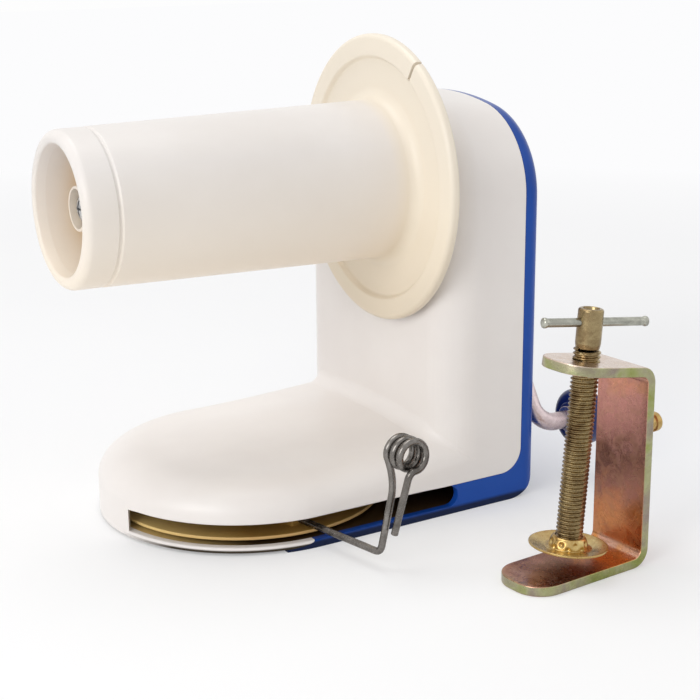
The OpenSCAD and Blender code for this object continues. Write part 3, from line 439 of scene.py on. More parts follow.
finishes = {
    "shell_white": plasticFinish("white shell", "ECE7E3", "E6E0DC", 0.32, paintedLight=whiteLipPaintedShadow),
    "shell_blue": plasticFinish("blue shell", "174CA6", "123F90", 0.28, 0.22, paintedLight=bluePaintedShade),
    "core_ivory": plasticFinish("ivory core", "E4DFDB", "DED8D3", 0.34, paintedLight=corePaintedLight),
    "inner_plastic": plasticFinish("inner plastic", "B48C46", "9A7436", 0.42, 0.3, paintedLight=innerPaintedLight),
    "gear_plastic": plasticFinish("gear plastic", "EDE6D6", "E0D6C2", 0.42),
    "knob_blue": plasticFinish("knob blue", "10205E", "0B1748", 0.26, 0.4),
    "bronze": metalFinish("sintered bronze", "A87C4A", "7C5830", 0.42, 0.0005, strength=0.3),
    "steel": metalFinish("bright steel", "C8C8C8", "A0A2A4", 0.26),
    "dark_steel": metalFinish("dark steel", "5A5A5C", "3C3C40", 0.38),
    "rod_zinc": metalFinish("rod zinc", "D8C8C8", "B09EA0", 0.26, 0.0012, (1, 8, 1)),
    "wire_steel": metalFinish("wire steel", "8C8884", "605C58", 0.24, 0.0008),
    "yellow_zinc": zincFinish(),
    "screw_zinc": metalFinish("screw zinc", "A89670", "6A5438", 0.22, 0.0009),
    "pad_zinc": metalFinish("pad zinc", "CCB67C", "A8844C", 0.26, 0.0011),
    "bar_steel": metalFinish("bar steel", "C0C0B4", "84847C", 0.2, 0.001),
}
nodeFinishes = {
    "steel": ["base_screws", "case_screws", "guide_post", "core_shaft", "core_washer", "core_screw", "knob_washer"],
    "dark_steel": ["guide_clip", "core_clip", "gear_pin", "crank_clip"],
    "bronze": ["front_core_bush", "rear_core_bush", "front_crank_bush", "rear_crank_bush"],
    "gear_plastic": ["core_pinion", "crank_gear"],
    "inner_plastic": ["base_plate"],
}
for slotName, names in nodeFinishes.items():
    for name in names:
        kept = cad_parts[name]
        if not kept.material_slots:
            kept.data.materials.append(None)
        for holder in kept.material_slots:
            holder.material = finishes[slotName]
print("finishes made:", len(finishes))


# Body
case = {
    "noseRadius": 48.5, "width": 92, "seamX": 78.5, "rearX": 85.5, "height": 131, "topSlope": 0.12,
    "faceX": 48.3, "faceEdge": 12.6, "archRadius": 28, "crownAngle": 12, "rearEdge": 5, "heel": 11,
    "footHeight": 23, "footRise": 3, "footEdgeWidth": 15, "footEdgeHeight": 10, "footCrown": 1.2, "crownWidth": 21.5,
    "footEnd": 62.9, "filletRadius": 5, "wall": 2.4,
    "slotLow": 2.6, "slotHigh": 9.8, "slotEnd": 53, "slotStart": 14, "slotCut": 60,
    "lipEnd": -1, "lipLow": 0.9, "lipTaper": 9,
    "seamCorner": 7.8, "seamGap": 0.15, "socketX": 61.8, "slotEdge": 0.7, "noseSteps": 96, "edgeSteps": 14, "arcSteps": 18,
}
halfWidth = case["width"] / 2
sideAngle = (math.acos(case["noseRadius"] / math.hypot(case["seamX"], halfWidth))
             + math.atan2(halfWidth, case["seamX"]))


def sideAt(x, inset):
    return (case["noseRadius"] - inset - x * math.cos(sideAngle)) / math.sin(sideAngle)


def footTopAt(x):
    share = max(0.0, x) / case["faceX"]
    return case["footHeight"] + case["footRise"] * share ** 1.4


def planRing(inset, endX):
    # the body seen from above: straight sides and a round nose
    radius = case["noseRadius"] - inset
    tangentX = radius * math.cos(sideAngle)
    sides = [(endX + (tangentX - endX) * i / 10, sideAt(endX + (tangentX - endX) * i / 10, inset)) for i in range(10)]
    sweep = 2 * math.pi - 2 * sideAngle
    nose = [turnPoint(radius, sideAngle + sweep * i / case["noseSteps"]) for i in range(case["noseSteps"] + 1)]
    return sides + nose + [(x, -y) for x, y in reversed(sides)]


def archRing(x, inset, low):
    # the upright cut across at x
    width = sideAt(x, inset)
    radius = case["archRadius"] - inset
    corner = width - radius
    crown = math.radians(case["crownAngle"])
    crownRadius = (corner + radius * math.sin(crown)) / math.sin(crown)
    top = case["height"] + case["topSlope"] * (case["seamX"] - x) - inset
    cornerZ = top - radius * math.cos(crown) - crownRadius * (1 - math.cos(crown))
    crownZ = cornerZ + (radius - crownRadius) * math.cos(crown)
    ring = [(width, low)]
    for i in range(case["arcSteps"] + 1):
        dy, dz = turnPoint(radius, (math.pi / 2 - crown) * i / case["arcSteps"])
        ring.append((corner + dy, cornerZ + dz))
    for i in range(1, 6):
        angle = crown * (1 - i / 6)
        ring.append((crownRadius * math.sin(angle), crownZ + crownRadius * math.cos(angle)))
    middle = [(0, crownZ + crownRadius)]
    return [(x, y, z) for y, z in ring + middle + [(-y, z) for y, z in reversed(ring)]]


def crownDrop(share):
    # how far the foot's top lies under its crown, from the rounded edge (0) to the crown (1)
    return case["footCrown"] * (1 - share) ** 2 * (1 + 2 * share)


def footSurface(x, y):
    inset = case["noseRadius"] - x * math.cos(sideAngle) - abs(y) * math.sin(sideAngle)
    out = 1 - min(1, inset / case["footEdgeWidth"])
    share = min(1, max(0, (inset - case["footEdgeWidth"]) / case["crownWidth"]))
    return footTopAt(x) - crownDrop(share) - case["footEdgeHeight"] * (1 - math.sqrt(1 - out * out))


def footSkin(inset, low):
    edgeSteps = case["edgeSteps"]
    rings = [[(x, y, low) for x, y in planRing(inset, case["footEnd"])]]
    for i in range(edgeSteps + 1):
        angle = math.pi / 2 * i / edgeSteps
        drop = inset + case["footCrown"] + case["footEdgeHeight"] * (1 - math.sin(angle))
        ring = planRing(inset + case["footEdgeWidth"] * (1 - math.cos(angle)), case["footEnd"])
        rings.append([(x, y, footTopAt(x) - drop) for x, y in ring])
    for i in range(1, 7):
        drop = inset + crownDrop(i / 6)
        ring = planRing(inset + case["footEdgeWidth"] + case["crownWidth"] * i / 6, case["footEnd"])
        rings.append([(x, y, footTopAt(x) - drop) for x, y in ring])
    rings.append([(x, 0, footTopAt(x) - inset) for x, y in ring])  # both sides meet along the middle
    return ringSkin(rings)


def uprightSkin(inset, low):
    front, rear = case["faceEdge"] - inset, max(0.6, case["rearEdge"] - inset)
    steps = case["edgeSteps"]
    shift = inset + 0.01
    rings = []
    for i in range(steps + 1):
        angle = math.pi / 2 * i / steps
        rings.append(archRing(case["faceX"] + inset + front * (1 - math.cos(angle)),
                              shift + front * (1 - math.sin(angle)), low))
    for i in range(steps + 1):
        angle = math.pi / 2 * (1 - i / steps)
        rings.append(archRing(case["rearX"] - inset - rear * (1 - math.cos(angle)),
                              shift + rear * (1 - math.sin(angle)), low))
    return ringSkin(rings)


def filletRing(x, y, angle, radius):
    # the fillet cut across where the upright's wall faces along the angle
    awayX, awayY, hair, root = -math.cos(angle), math.sin(angle), 0.05, 1.5
    section = []
    for i in range(11):
        dx, dz = turnPoint(radius, math.pi / 2 * i / 10)
        reach = radius - dz - hair
        px, py = x + reach * awayX, y + reach * awayY
        section.append((px, py, footSurface(px, py) + radius - dx - hair))
    toe, top = section[0], section[-1]
    return section + [(x - awayX, y - awayY, top[2]), (x - awayX, y - awayY, footSurface(x, y) - root),
                      (toe[0], toe[1], toe[2] - root)]


def filletSkin():
    # hollow curve where the upright rises out of the foot, thinning out round its front edges
    edge, radius, steps = case["faceEdge"], case["filletRadius"], case["edgeSteps"]
    halfFace = sideAt(case["faceX"], edge)
    rings = [filletRing(case["faceX"], halfFace * i / 12, 0, radius) for i in range(12)]
    for i in range(steps):
        angle = math.pi / 2 * i / steps
        left = 1 - math.sin(angle)
        x = case["faceX"] + edge * (1 - math.cos(angle))
        rings.append(filletRing(x, sideAt(x, edge * left), angle, radius * left))
    return ringSkin([[(x, -y, z) for x, y, z in ring] for ring in reversed(rings[1:])] + rings)


def sidePrism(outline):
    # a shape seen from the side, run right across the body
    return slab(outline, 240, lambda x, z, y: Vector((x, y - 120, z)))


def heelPrism(inset, low):
    radius = case["heel"] - inset
    middleX = case["rearX"] - case["heel"]
    arc = []
    for i in range(17):
        dx, dz = turnPoint(radius, -math.pi / 2 * (1 - i / 16))
        arc.append((middleX + dx, case["heel"] + dz))
    start = [(-200, low), (middleX, low)] + ([(middleX, inset)] if low < inset else [])
    return sidePrism(start + arc[1 if low == inset else 0:] + [(case["rearX"] - inset, 200), (-200, 200)])


def seamPrism(gap, behind):
    # everything in front of the seam between the shells, or behind it; the lip's end thins out to a point
    radius = case["seamCorner"] + gap
    middleX, middleZ = case["seamX"] - case["seamCorner"], case["slotHigh"] + case["seamCorner"]
    taperX, lipHeight = case["lipEnd"] - case["lipTaper"], case["slotLow"] - case["lipLow"]
    seam = [(taperX, -5)] if behind else []
    for i in range(17):
        angle = math.pi / 2 * i / 16
        seam.append((taperX + (case["lipTaper"] + gap) * math.sin(angle),
                     case["slotLow"] - (lipHeight + gap) * math.cos(angle)))
    seam.append((case["lipEnd"] + gap, case["slotHigh"] - gap))
    for i in range(17):
        dx, dz = turnPoint(radius, -math.pi / 2 * (1 - i / 16))
        seam.append((middleX + dx, middleZ + dz))
    farX, low = (200, -5) if behind else (-200, case["lipLow"])
    return sidePrism(seam + [(case["seamX"] + gap, 210), (farX, 210), (farX, low)])


def slotCutter():
    # slot round the near side of the nose, with a round end
    radius = (case["slotHigh"] - case["slotLow"]) / 2
    endX = case["slotEnd"] - radius
    start = -Vector(turnPoint(case["noseRadius"], math.radians(case["slotStart"])))
    along = Vector(turnPoint(1, math.radians(case["slotCut"])))
    inner, outer = start + along * 2 * case["wall"], start - along * 200
    plan = [inner, outer, (endX, -200), (endX, inner.y)]
    cutter = makeObject(slab(plan, 2 * radius, lambda x, y, z: Vector((x, y, z + case["slotLow"]))), "slot")
    middle = case["slotLow"] + radius
    end = makeObject(rod(radius, (endX, inner.y, middle), (endX, -200, middle)), "slot end")
    return combine(cutter, end, "UNION")


def slotFlare():
    # rounds the slot's long edges where they meet the outside, fading out toward its ends
    high, low, radius = case["slotHigh"], case["slotLow"], case["noseRadius"]
    start, stop = math.radians(181 + case["slotStart"]), 2 * math.pi - sideAngle
    stations = []
    for i in range(49):
        angle = start + (stop - start) * i / 48
        stations.append((*turnPoint(radius, angle), angle))
    for i in range(1, 13):
        x = radius * math.cos(sideAngle) * (1 - i / 12) + 47 * i / 12
        stations.append((x, -sideAt(x, 0), stop))
    rings = []
    for index, (x, y, angle) in enumerate(stations):
        share = index / (len(stations) - 1)
        edge = case["slotEdge"] * math.sin(math.pi / 2 * min(1, 0.02 + 16 * share, 0.02 + 16 * (1 - share)))
        section = [(edge + 0.5, -0.3)] + [
            (edge - (edge + 0.02) * math.sin(math.pi / 12 * i), edge - edge * math.cos(math.pi / 12 * i))
            for i in range(7)] + [(-1.5, edge)]
        outX, outY = turnPoint(1, angle)
        ring = [(x - outX * inset, y - outY * inset, high + rise) for inset, rise in section]
        ring += [(x - outX * inset, y - outY * inset, low - rise) for inset, rise in reversed(section)]
        rings.append(ring)
    return ringSkin(rings)


def bodyForm(inset, low, fillet):
    # each part reaches a little further down, so that no two bottoms share a plane before the cut
    form = makeObject(footSkin(inset, low - 2), "form")
    form = combine(form, makeObject(uprightSkin(inset, low - 3), "upright"), "UNION")
    if fillet:
        form = combine(form, makeObject(filletSkin(), "fillet"), "UNION")
    return combine(form, makeObject(heelPrism(inset, low), "heel"), "INTERSECT")


def hollowBody():
    outside = bodyForm(0, 0, True)
    inside = bodyForm(case["wall"], -1, False)
    return combine(outside, inside, "DIFFERENCE")


def copyOf(obj):
    twin = obj.copy()
    twin.data = obj.data.copy()
    bpy.context.scene.collection.objects.link(twin)
    return twin


def softenEdges(obj, width, segments=2, angle=30):
    step = obj.modifiers.new("soft edges", "BEVEL")
    step.width = width
    step.segments = segments
    step.limit_method = "ANGLE"
    step.angle_limit = math.radians(angle)
    step.harden_normals = False
    shaped = obj.evaluated_get(bpy.context.evaluated_depsgraph_get())
    mesh = bpy.data.meshes.new_from_object(shaped)
    obj.modifiers.clear()
    obj.data = mesh
    return obj


shellScrews = {"places": [(-32, 111), (32, 111), (-38.5, 42), (38.5, 42)], "headX": 80.7, "headRadius": 3.1,
               "shankRadius": 1.7, "bossRadius": 4.7}


def screwSeat(y, z):
    # what the head and the shank of one case screw take out of the rear shell
    shank, headRadius, headX = shellScrews["shankRadius"], shellScrews["headRadius"], shellScrews["headX"]
    profile = [(0, 70), (shank, 70), (shank, headX), (headRadius, headX), (headRadius, 90), (0, 90)]
    return turned(profile, (0, y, z), (1, 0, 0), (0, 1, 0), 40)


wholeShell = hollowBody()
wholeShell = combine(wholeShell, slotCutter(), "DIFFERENCE")
wholeShell = combine(wholeShell, makeObject(slotFlare(), "slot edges"), "DIFFERENCE")

front = combine(copyOf(wholeShell), makeObject(seamPrism(0, False), "front zone"), "INTERSECT")
socketX = case["socketX"]
socketTube = makeObject(rod(6.4, (socketX, 31, 22), (socketX, 44.8, 22)), "socket")
front = combine(front, socketTube, "UNION")
bores = joined(rod(3.1, (socketX, 32, 22), (socketX, 60, 22)), rod(5.02, (40, coreY, coreZ), (60, coreY, coreZ)))
front = combine(front, makeObject(bores, "bores"), "DIFFERENCE")
finishPiece(takeMesh(front), "white_shell", "body", "shell_white", ["front_shell"])
print("white shell made")

rear = combine(wholeShell, makeObject(seamPrism(case["seamGap"], True), "rear zone"), "INTERSECT")
bosses = [rod(shellScrews["bossRadius"], (78.8, y, z), (83.8, y, z), 40) for y, z in shellScrews["places"]]
rear = combine(rear, makeObject(joined(*bosses), "screw bosses"), "UNION")
seats = [screwSeat(y, z) for y, z in shellScrews["places"]]
bushBore = rod(5.02, (70, coreY, crankZ), (90, coreY, crankZ))
rear = combine(rear, makeObject(joined(bushBore, *seats), "screw seats"), "DIFFERENCE")
finishPiece(takeMesh(rear), "blue_shell", "body", "shell_blue", ["rear_shell"])
print("blue shell made")

# Core
core = {
    "tipX": -64, "mouthX": -62, "mouthRadius": 18.9, "floorX": -40, "tipRadius": 23.6, "baseRadius": 25.4,
    "grooveX": -53.4, "flangeX": 43.0, "flangeBack": 46.2, "flangeRadius": 46.1, "rimWidth": 7.5,
    "flangeFloor": 44.6, "fillet": 4, "hubRadius": 6.8, "hubX": -58, "ledgeX": -54, "wall": 2.6,
    "notchAngle": 123, "notchWidth": 1.2, "notchLength": 6.5, "steps": 160,
}


def coreProfile():
    rim = core["flangeRadius"] - core["rimWidth"]
    return roundedPath([
        (3.02, core["flangeBack"], 0), (core["hubRadius"], core["flangeBack"], 0.3),
        (core["hubRadius"], -36.5, 1), (core["tipRadius"] - core["wall"], -36.5, 1.5),
        (core["baseRadius"] - core["wall"], core["flangeBack"], 0.3),
        (core["flangeRadius"], core["flangeBack"], 0.9), (core["flangeRadius"], core["flangeX"], 1.5),
        (rim + 0.7, core["flangeX"], 0.9), (rim - 0.3, core["flangeFloor"], 0.8),
        (core["baseRadius"] + 0.1, core["flangeFloor"], core["fillet"]),
        (core["tipRadius"] + 0.1, core["grooveX"] + 0.75, 0.5),
        (core["tipRadius"] - 0.45, core["grooveX"] + 0.25, 0.2),
        (core["tipRadius"] - 0.45, core["grooveX"] - 0.25, 0.2),
        (core["tipRadius"], core["grooveX"] - 0.75, 0.5),
        (core["tipRadius"] - 0.1, core["tipX"], 2.6),
        (core["mouthRadius"] + 0.8, core["tipX"], 1.2), (core["mouthRadius"] - 0.1, core["mouthX"] + 1.5, 2),
        (core["mouthRadius"] - 3.2, core["floorX"], 3.4),
        (core["hubRadius"], core["floorX"], 1.2), (core["hubRadius"], core["hubX"], 0.6),
        (5.9, core["hubX"], 0.25), (5.9, core["ledgeX"], 0.1), (3.02, core["ledgeX"], 0),
    ], closed=True)


coreBlank = makeObject(turned(coreProfile(), (0, coreY, coreZ), (1, 0, 0), (0, 1, 0), core["steps"], True), "core")
notch = bmesh.new()
bmesh.ops.create_cube(notch, size=1)
bmesh.ops.scale(notch, vec=(12, core["notchLength"] * 2, core["notchWidth"]), verts=notch.verts)
bmesh.ops.translate(notch, vec=(core["flangeX"], core["flangeRadius"], 0), verts=notch.verts)
bmesh.ops.rotate(notch, cent=(0, 0, 0), matrix=Matrix.Rotation(math.radians(core["notchAngle"]), 3, "X"),
                 verts=notch.verts)
bmesh.ops.translate(notch, vec=(0, coreY, coreZ), verts=notch.verts)
coreBlank = combine(coreBlank, makeObject(notch, "notch"), "DIFFERENCE")
finishPiece(takeMesh(coreBlank), "winding_core", "core", "core_ivory", ["yarn_core"], 40)
print("core made")

# Crank
crank = {
    "lean": 33.2, "length": 54, "radius": 3, "startX": 52.4, "armX": 90, "nearBend": 3.6, "knobBend": 7,
    "knobX": 103, "knobRadius": 9.75, "knobLength": 10, "knobEdge": 3.2,
}


def crankPoint(x, y, z):
    # from the crank's own frame, arm along -Z, to the body's
    angle = math.radians(-crank["lean"])
    return Vector((x, coreY + y * math.cos(angle) - z * math.sin(angle),
                   crankZ + y * math.sin(angle) + z * math.cos(angle)))


def crankPath():
    near, far, armX, length = crank["nearBend"], crank["knobBend"], crank["armX"], crank["length"]
    points = [(crank["startX"], 0)]
    for i in range(13):
        dx, dz = turnPoint(near, math.pi / 2 * (1 - i / 12))
        points.append((armX - near + dx, -near + dz))
    for i in range(17):
        dx, dz = turnPoint(far, math.pi + math.pi / 2 * i / 16)
        points.append((armX + far + dx, -length + far + dz))
    points.append((crank["knobX"] + crank["knobLength"] + 1, -length))
    return [crankPoint(x, 0, z) for x, z in points]


crankSide = crankPoint(0, 1, 0) - crankPoint(0, 0, 0)
knobCentre = crankPoint(0, 0, -crank["length"])
rodEnd = crank["knobX"] + crank["knobLength"] + 1
collar = turned(roundedPath([(2.9, 101.9, 0), (4.4, 101.9, 0.3), (4.4, 102.9, 0.3), (2.9, 102.9, 0)], True),
                knobCentre, (1, 0, 0), crankSide, 64, True)
peened = turned(roundedPath([(0, rodEnd - 0.2, 0), (4, rodEnd - 0.05, 0.4), (3.6, rodEnd + 0.7, 0.5),
                             (0, rodEnd + 1.0, 0)]), knobCentre, (1, 0, 0), crankSide, 64)
finishPiece(joined(curveTube(crankPath(), crank["radius"], 8), collar, peened), "crank_arm", "crank", "rod_zinc",
            ["crank_rod"])


def knobProfile():
    start, stop = crank["knobX"], crank["knobX"] + crank["knobLength"]
    radius, edge = crank["knobRadius"], crank["knobEdge"]
    return roundedPath([
        (3.04, start, 0), (5.2, start, 0.2), (5.6, start + 0.35, 0.2), (radius, start, edge),
        (radius, stop, edge), (5.9, stop, 0.2), (5.5, stop - 0.3, 0.2), (3.04, stop - 0.3, 0),
    ], True, 9)


finishPiece(turned(knobProfile(), knobCentre, (1, 0, 0), crankSide, 96, True), "crank_grip", "knob", "knob_blue",
            ["crank_knob"])
print("crank made")

# Guide
guide = {
    "anchor": (-6, -12, 5.8), "elbow": (6.9, -74, 5.8), "elbowBend": 2.4, "loopMiddle": (13.3, -73.6, 36.6),
    "loopRadius": 4.3, "pitch": 2.9, "turns": 2.75, "heading": 8, "wireRadius": 1.1, "tailEnd": (9.9, -77, 12.1),
    "discRadius": 44.5, "discLow": 3.4, "discHigh": 4.4, "hubRadius": 8, "hubHigh": 11.8, "bore": 3.04,
    "blockWidth": 7, "blockLength": 27, "blockHigh": 8.5,
}
loopSide = Vector((*turnPoint(1, math.radians(guide["heading"])), 0))
loopAxis = Vector((loopSide.y, -loopSide.x, 0))
upward = Vector((0, 0, 1))


def loopPoint(angle):
    # the loops start on their left side, going up, and follow each other away from the body
    across, up = turnPoint(guide["loopRadius"], angle)
    return Vector(guide["loopMiddle"]) + upward * up - loopSide * across + loopAxis * guide["pitch"] * angle / math.tau


def cornerCurve(before, middle, after, steps):
    points = []
    for i in range(steps + 1):
        share = i / steps
        points.append(before * (1 - share) ** 2 + middle * 2 * share * (1 - share) + after * share ** 2)
    return points


def wirePath():
    anchor, elbow, tailEnd = (Vector(guide[key]) for key in ("anchor", "elbow", "tailEnd"))
    sweep, bend = math.tau * guide["turns"], guide["elbowBend"]
    start, stop = loopPoint(0), loopPoint(sweep)
    legTop, tailTop = start + Vector((2.8, 0, -8.4)), stop - loopSide * 2.4 - upward * 0.2
    out = (elbow - anchor).normalized()
    legUp = (legTop - elbow).normalized()
    tailDown = (tailEnd - tailTop).normalized()
    steps = round(48 * guide["turns"])
    return ([anchor] + cornerCurve(elbow - out * bend, elbow, elbow + legUp * bend, 12)
            + cornerCurve(legTop - legUp * 6, legTop, start - upward, 12)
            + [loopPoint(sweep * i / steps) for i in range(steps + 1)]
            + cornerCurve(stop - loopSide * 0.6, tailTop, tailTop + tailDown * 2.4, 12) + [tailEnd])


finishPiece(curveTube(wirePath(), guide["wireRadius"], 5), "yarn_guide", "guide", "wire_steel", ["guide_wire"])

discProfile = roundedPath([
    (guide["bore"], guide["discLow"], 0), (guide["discRadius"], guide["discLow"], 0.3),
    (guide["discRadius"], guide["discHigh"], 0.3), (guide["hubRadius"] + 0.2, guide["discHigh"], 1),
    (guide["hubRadius"], guide["hubHigh"], 0.5), (guide["bore"], guide["hubHigh"], 0),
], True)
disc = makeObject(turned(discProfile, (0, 0, 0), (0, 0, 1), (1, 0, 0), 160, True), "disc")
anchorPoint, elbowPoint = Vector(guide["anchor"]), Vector(guide["elbow"])
blockTurn = math.atan2(elbowPoint.y - anchorPoint.y, elbowPoint.x - anchorPoint.x)
block = bmesh.new()
bmesh.ops.create_cube(block, size=1)
bmesh.ops.scale(block, vec=(guide["blockLength"], guide["blockWidth"], guide["blockHigh"] - guide["discLow"] - 0.1),
                verts=block.verts)
bmesh.ops.bevel(block, geom=block.edges[:], offset=0.6, segments=3, profile=0.5, affect="EDGES", material=-1)
bmesh.ops.translate(block, vec=(guide["blockLength"] / 2, 0, (guide["blockHigh"] - guide["discLow"]) / 2),
                    verts=block.verts)
bmesh.ops.rotate(block, cent=(0, 0, 0), matrix=Matrix.Rotation(blockTurn, 3, "Z"), verts=block.verts)
bmesh.ops.translate(block, vec=(anchorPoint.x, anchorPoint.y, guide["discLow"] + 0.1), verts=block.verts)
disc = combine(disc, makeObject(block, "block"), "UNION")
wireHole = makeObject(rod(guide["wireRadius"] + 0.02, anchorPoint, elbowPoint), "wire hole")
disc = combine(disc, wireHole, "DIFFERENCE")
finishPiece(takeMesh(disc), "guide_plate", "guide", "inner_plastic", ["guide_disc"])
print("guide made")

# Clamp
clamp = {
    "width": 20.4, "thick": 3, "bend": 2.5, "lowerArm": 41.5, "web": 51,
    "upperArm": 26, "rise": 9.5, "tipRadius": 8.5, "edge": 0.35,
    "screwX": 20, "screwZ": 8.8, "lean": 5, "screwRadius": 4, "rootRadius": 3.45, "pitch": 1.25,
    "threadTop": 60.6, "screwLength": 70.8, "headRadius": 3.7, "barZ": 66.7, "barLength": 34.4, "barShift": 1.8,
    "barTurn": -14, "barRadius": 1.3, "padRadius": 11.7, "padLow": 1.8, "collarRadius": 5.7, "collarTop": 2.9,
    "studZ": 40, "studLength": 12, "studRadius": 3,
}
clampFrame = Matrix.Translation(clampPlace) @ Matrix.Rotation(clampTurn, 4, "Z")
screwFrame = (clampFrame @ Matrix.Translation((clamp["screwX"], clamp["width"] / 2, clamp["screwZ"]))
              @ Matrix.Rotation(math.radians(-clamp["lean"]), 4, "Y"))


def placed(bm, matrix):
    bmesh.ops.transform(bm, matrix=matrix, verts=bm.verts)
    return bm


# the strip is laid out flat, cut round, given its thickness and edges, then bent
bendMiddle = clamp["bend"] + clamp["thick"] / 2
lowFlat = clamp["lowerArm"] - clamp["bend"]
lowArc = bendMiddle * math.pi / 2
highTurn = math.radians(90 - clamp["rise"])
highArc = bendMiddle * highTurn
stripLength = lowFlat + lowArc + clamp["web"] + highArc + clamp["upperArm"]


def bendStrip(s, across, depth):
    # s runs from the lower tip to the upper one, depth from the inside face to the outside
    inside, webX = clamp["bend"], 0.0
    lowZ, highZ = clamp["bend"] + clamp["thick"], clamp["bend"] + clamp["thick"] + clamp["web"]
    reach = inside + depth
    if s <= lowFlat:
        return Vector((clamp["lowerArm"] - s, across, clamp["thick"] - depth))
    s -= lowFlat
    if s <= lowArc:
        dx, dz = turnPoint(reach, -math.pi / 2 - s / bendMiddle)
        return Vector((inside + dx, across, lowZ + dz))
    s -= lowArc
    if s <= clamp["web"]:
        return Vector((webX - depth, across, lowZ + s))
    s -= clamp["web"]
    if s <= highArc:
        dx, dz = turnPoint(reach, math.pi - s / bendMiddle)
        return Vector((inside + dx, across, highZ + dz))
    s -= highArc
    rise = math.radians(clamp["rise"])
    dx, dz = turnPoint(reach, math.pi - highTurn)
    return Vector((inside + dx + s * math.cos(rise), across, highZ + dz + s * math.sin(rise)))


def stripOutline():
    radius = clamp["tipRadius"]
    return roundedPath([(0, 0, radius), (stripLength, 0, radius), (stripLength, clamp["width"], radius),
                        (0, clamp["width"], radius)], True, 12)


def stripBend():
    bm = bmesh.new()
    face = bm.faces.new([bm.verts.new((x, y, 0)) for x, y in stripOutline()])
    top = bmesh.ops.extrude_face_region(bm, geom=[face])["geom"]
    bmesh.ops.translate(bm, vec=(0, 0, clamp["thick"]), verts=[v for v in top if isinstance(v, bmesh.types.BMVert)])
    rim = [edge for edge in bm.edges if abs(edge.verts[0].co.z - edge.verts[1].co.z) < 0.01]
    bmesh.ops.bevel(bm, geom=rim, offset=clamp["edge"], segments=3, profile=0.5, affect="EDGES", material=-1)
    cuts = [lowFlat - 8] + [lowFlat + lowArc * i / 12 for i in range(13)]
    cuts += [lowFlat + lowArc + clamp["web"] * i / 6 for i in range(1, 6)]
    cuts += [lowFlat + lowArc + clamp["web"] + highArc * i / 12 for i in range(13)]
    for cut in cuts:
        bmesh.ops.bisect_plane(bm, geom=bm.verts[:] + bm.edges[:] + bm.faces[:], plane_co=(cut, 0, 0),
                               plane_no=(1, 0, 0), dist=1e-5)
    for vert in bm.verts:
        vert.co = bendStrip(*vert.co)
    bmesh.ops.recalc_face_normals(bm, faces=bm.faces)
    return bm


bracket = makeObject(stripBend(), "bracket")
screwBore = rod(clamp["screwRadius"] + 0.04, (0, 0, 40), (0, 0, 80))
bore = makeObject(placed(screwBore, clampFrame.inverted() @ screwFrame), "bore")
bracket = combine(bracket, bore, "DIFFERENCE")
finishPiece(placed(takeMesh(bracket), clampFrame), "clamp_strip", "clamp", "yellow_zinc", ["clamp_bracket"], 30)

studRadius, studStart = clamp["studRadius"], clamp["thick"] + 0.02
studEnd = clamp["thick"] + clamp["studLength"]
studProfile = roundedPath([
    (0, 0.05, 0), (studRadius - 0.8, 0.05, 0), (studRadius - 0.8, studStart, 0),
    (studRadius, studStart, 0.1), (studRadius, studEnd - 3.9, 0.2),
    (studRadius - 0.6, studEnd - 3.5, 0.2), (studRadius - 0.6, studEnd - 2.5, 0.2), (studRadius, studEnd - 2.1, 0.2),
    (studRadius, studEnd, 0.7), (0, studEnd, 0),
])
finishPiece(placed(turned(studProfile, (0, clamp["width"] / 2, clamp["studZ"]), (-1, 0, 0), (0, 1, 0), 64),
                   clampFrame), "clamp_pin", "clamp", "steel", ["clamp_stud"], material=finishes["pad_zinc"])


def threadSkin():
    # one pitch of the thread's section, spun with a rise of one pitch a turn
    root, crest, pitch = clamp["rootRadius"], clamp["screwRadius"], clamp["pitch"]
    section = [(root, 0), (root, pitch * 0.14), (crest, pitch * 0.46), (crest, pitch * 0.62), (root, pitch * 0.94),
               (root, pitch)]
    turns = int((clamp["threadTop"] + 0.5) / pitch) - 1
    steps = 32
    bm = bmesh.new()
    verts = [bm.verts.new((distance, 0, along - 0.5)) for distance, along in section]
    edges = [bm.edges.new(pair) for pair in zip(verts, verts[1:])]
    bmesh.ops.spin(bm, geom=verts + edges, cent=(0, 0, 0), axis=(0, 0, 1), angle=2 * math.pi * turns,
                   steps=steps * turns, dvec=(0, 0, pitch / steps), use_merge=False, use_duplicate=False)
    bmesh.ops.remove_doubles(bm, verts=bm.verts, dist=1e-3)
    bmesh.ops.holes_fill(bm, edges=bm.edges, sides=0)
    bmesh.ops.recalc_face_normals(bm, faces=bm.faces)
    return bm


headProfile = roundedPath([
    (0, clamp["threadTop"] - 2, 0), (clamp["rootRadius"], clamp["threadTop"] - 1.4, 0.2),
    (clamp["headRadius"], clamp["threadTop"] + 0.1, 0.4), (clamp["headRadius"], clamp["screwLength"], 0.8),
    (2.4, clamp["screwLength"], 0.25), (2.1, clamp["screwLength"] - 1.6, 0.4), (0, clamp["screwLength"] - 1.6, 0),
])
head = makeObject(turned(headProfile, (0, 0, 0), (0, 0, 1), (1, 0, 0), 64), "head")
barAlong = Vector((*turnPoint(1, math.radians(clamp["barTurn"])), 0))
barMiddle = Vector((0, 0, clamp["barZ"]))
crossBore = rod(clamp["barRadius"] + 0.04, barMiddle - barAlong * 20, barMiddle + barAlong * 20)
head = combine(head, makeObject(crossBore, "cross bore"), "DIFFERENCE")
finishPiece(placed(joined(threadSkin(), takeMesh(head)), screwFrame), "clamp_spindle", "screw", "screw_zinc",
            ["clamp_screw"])


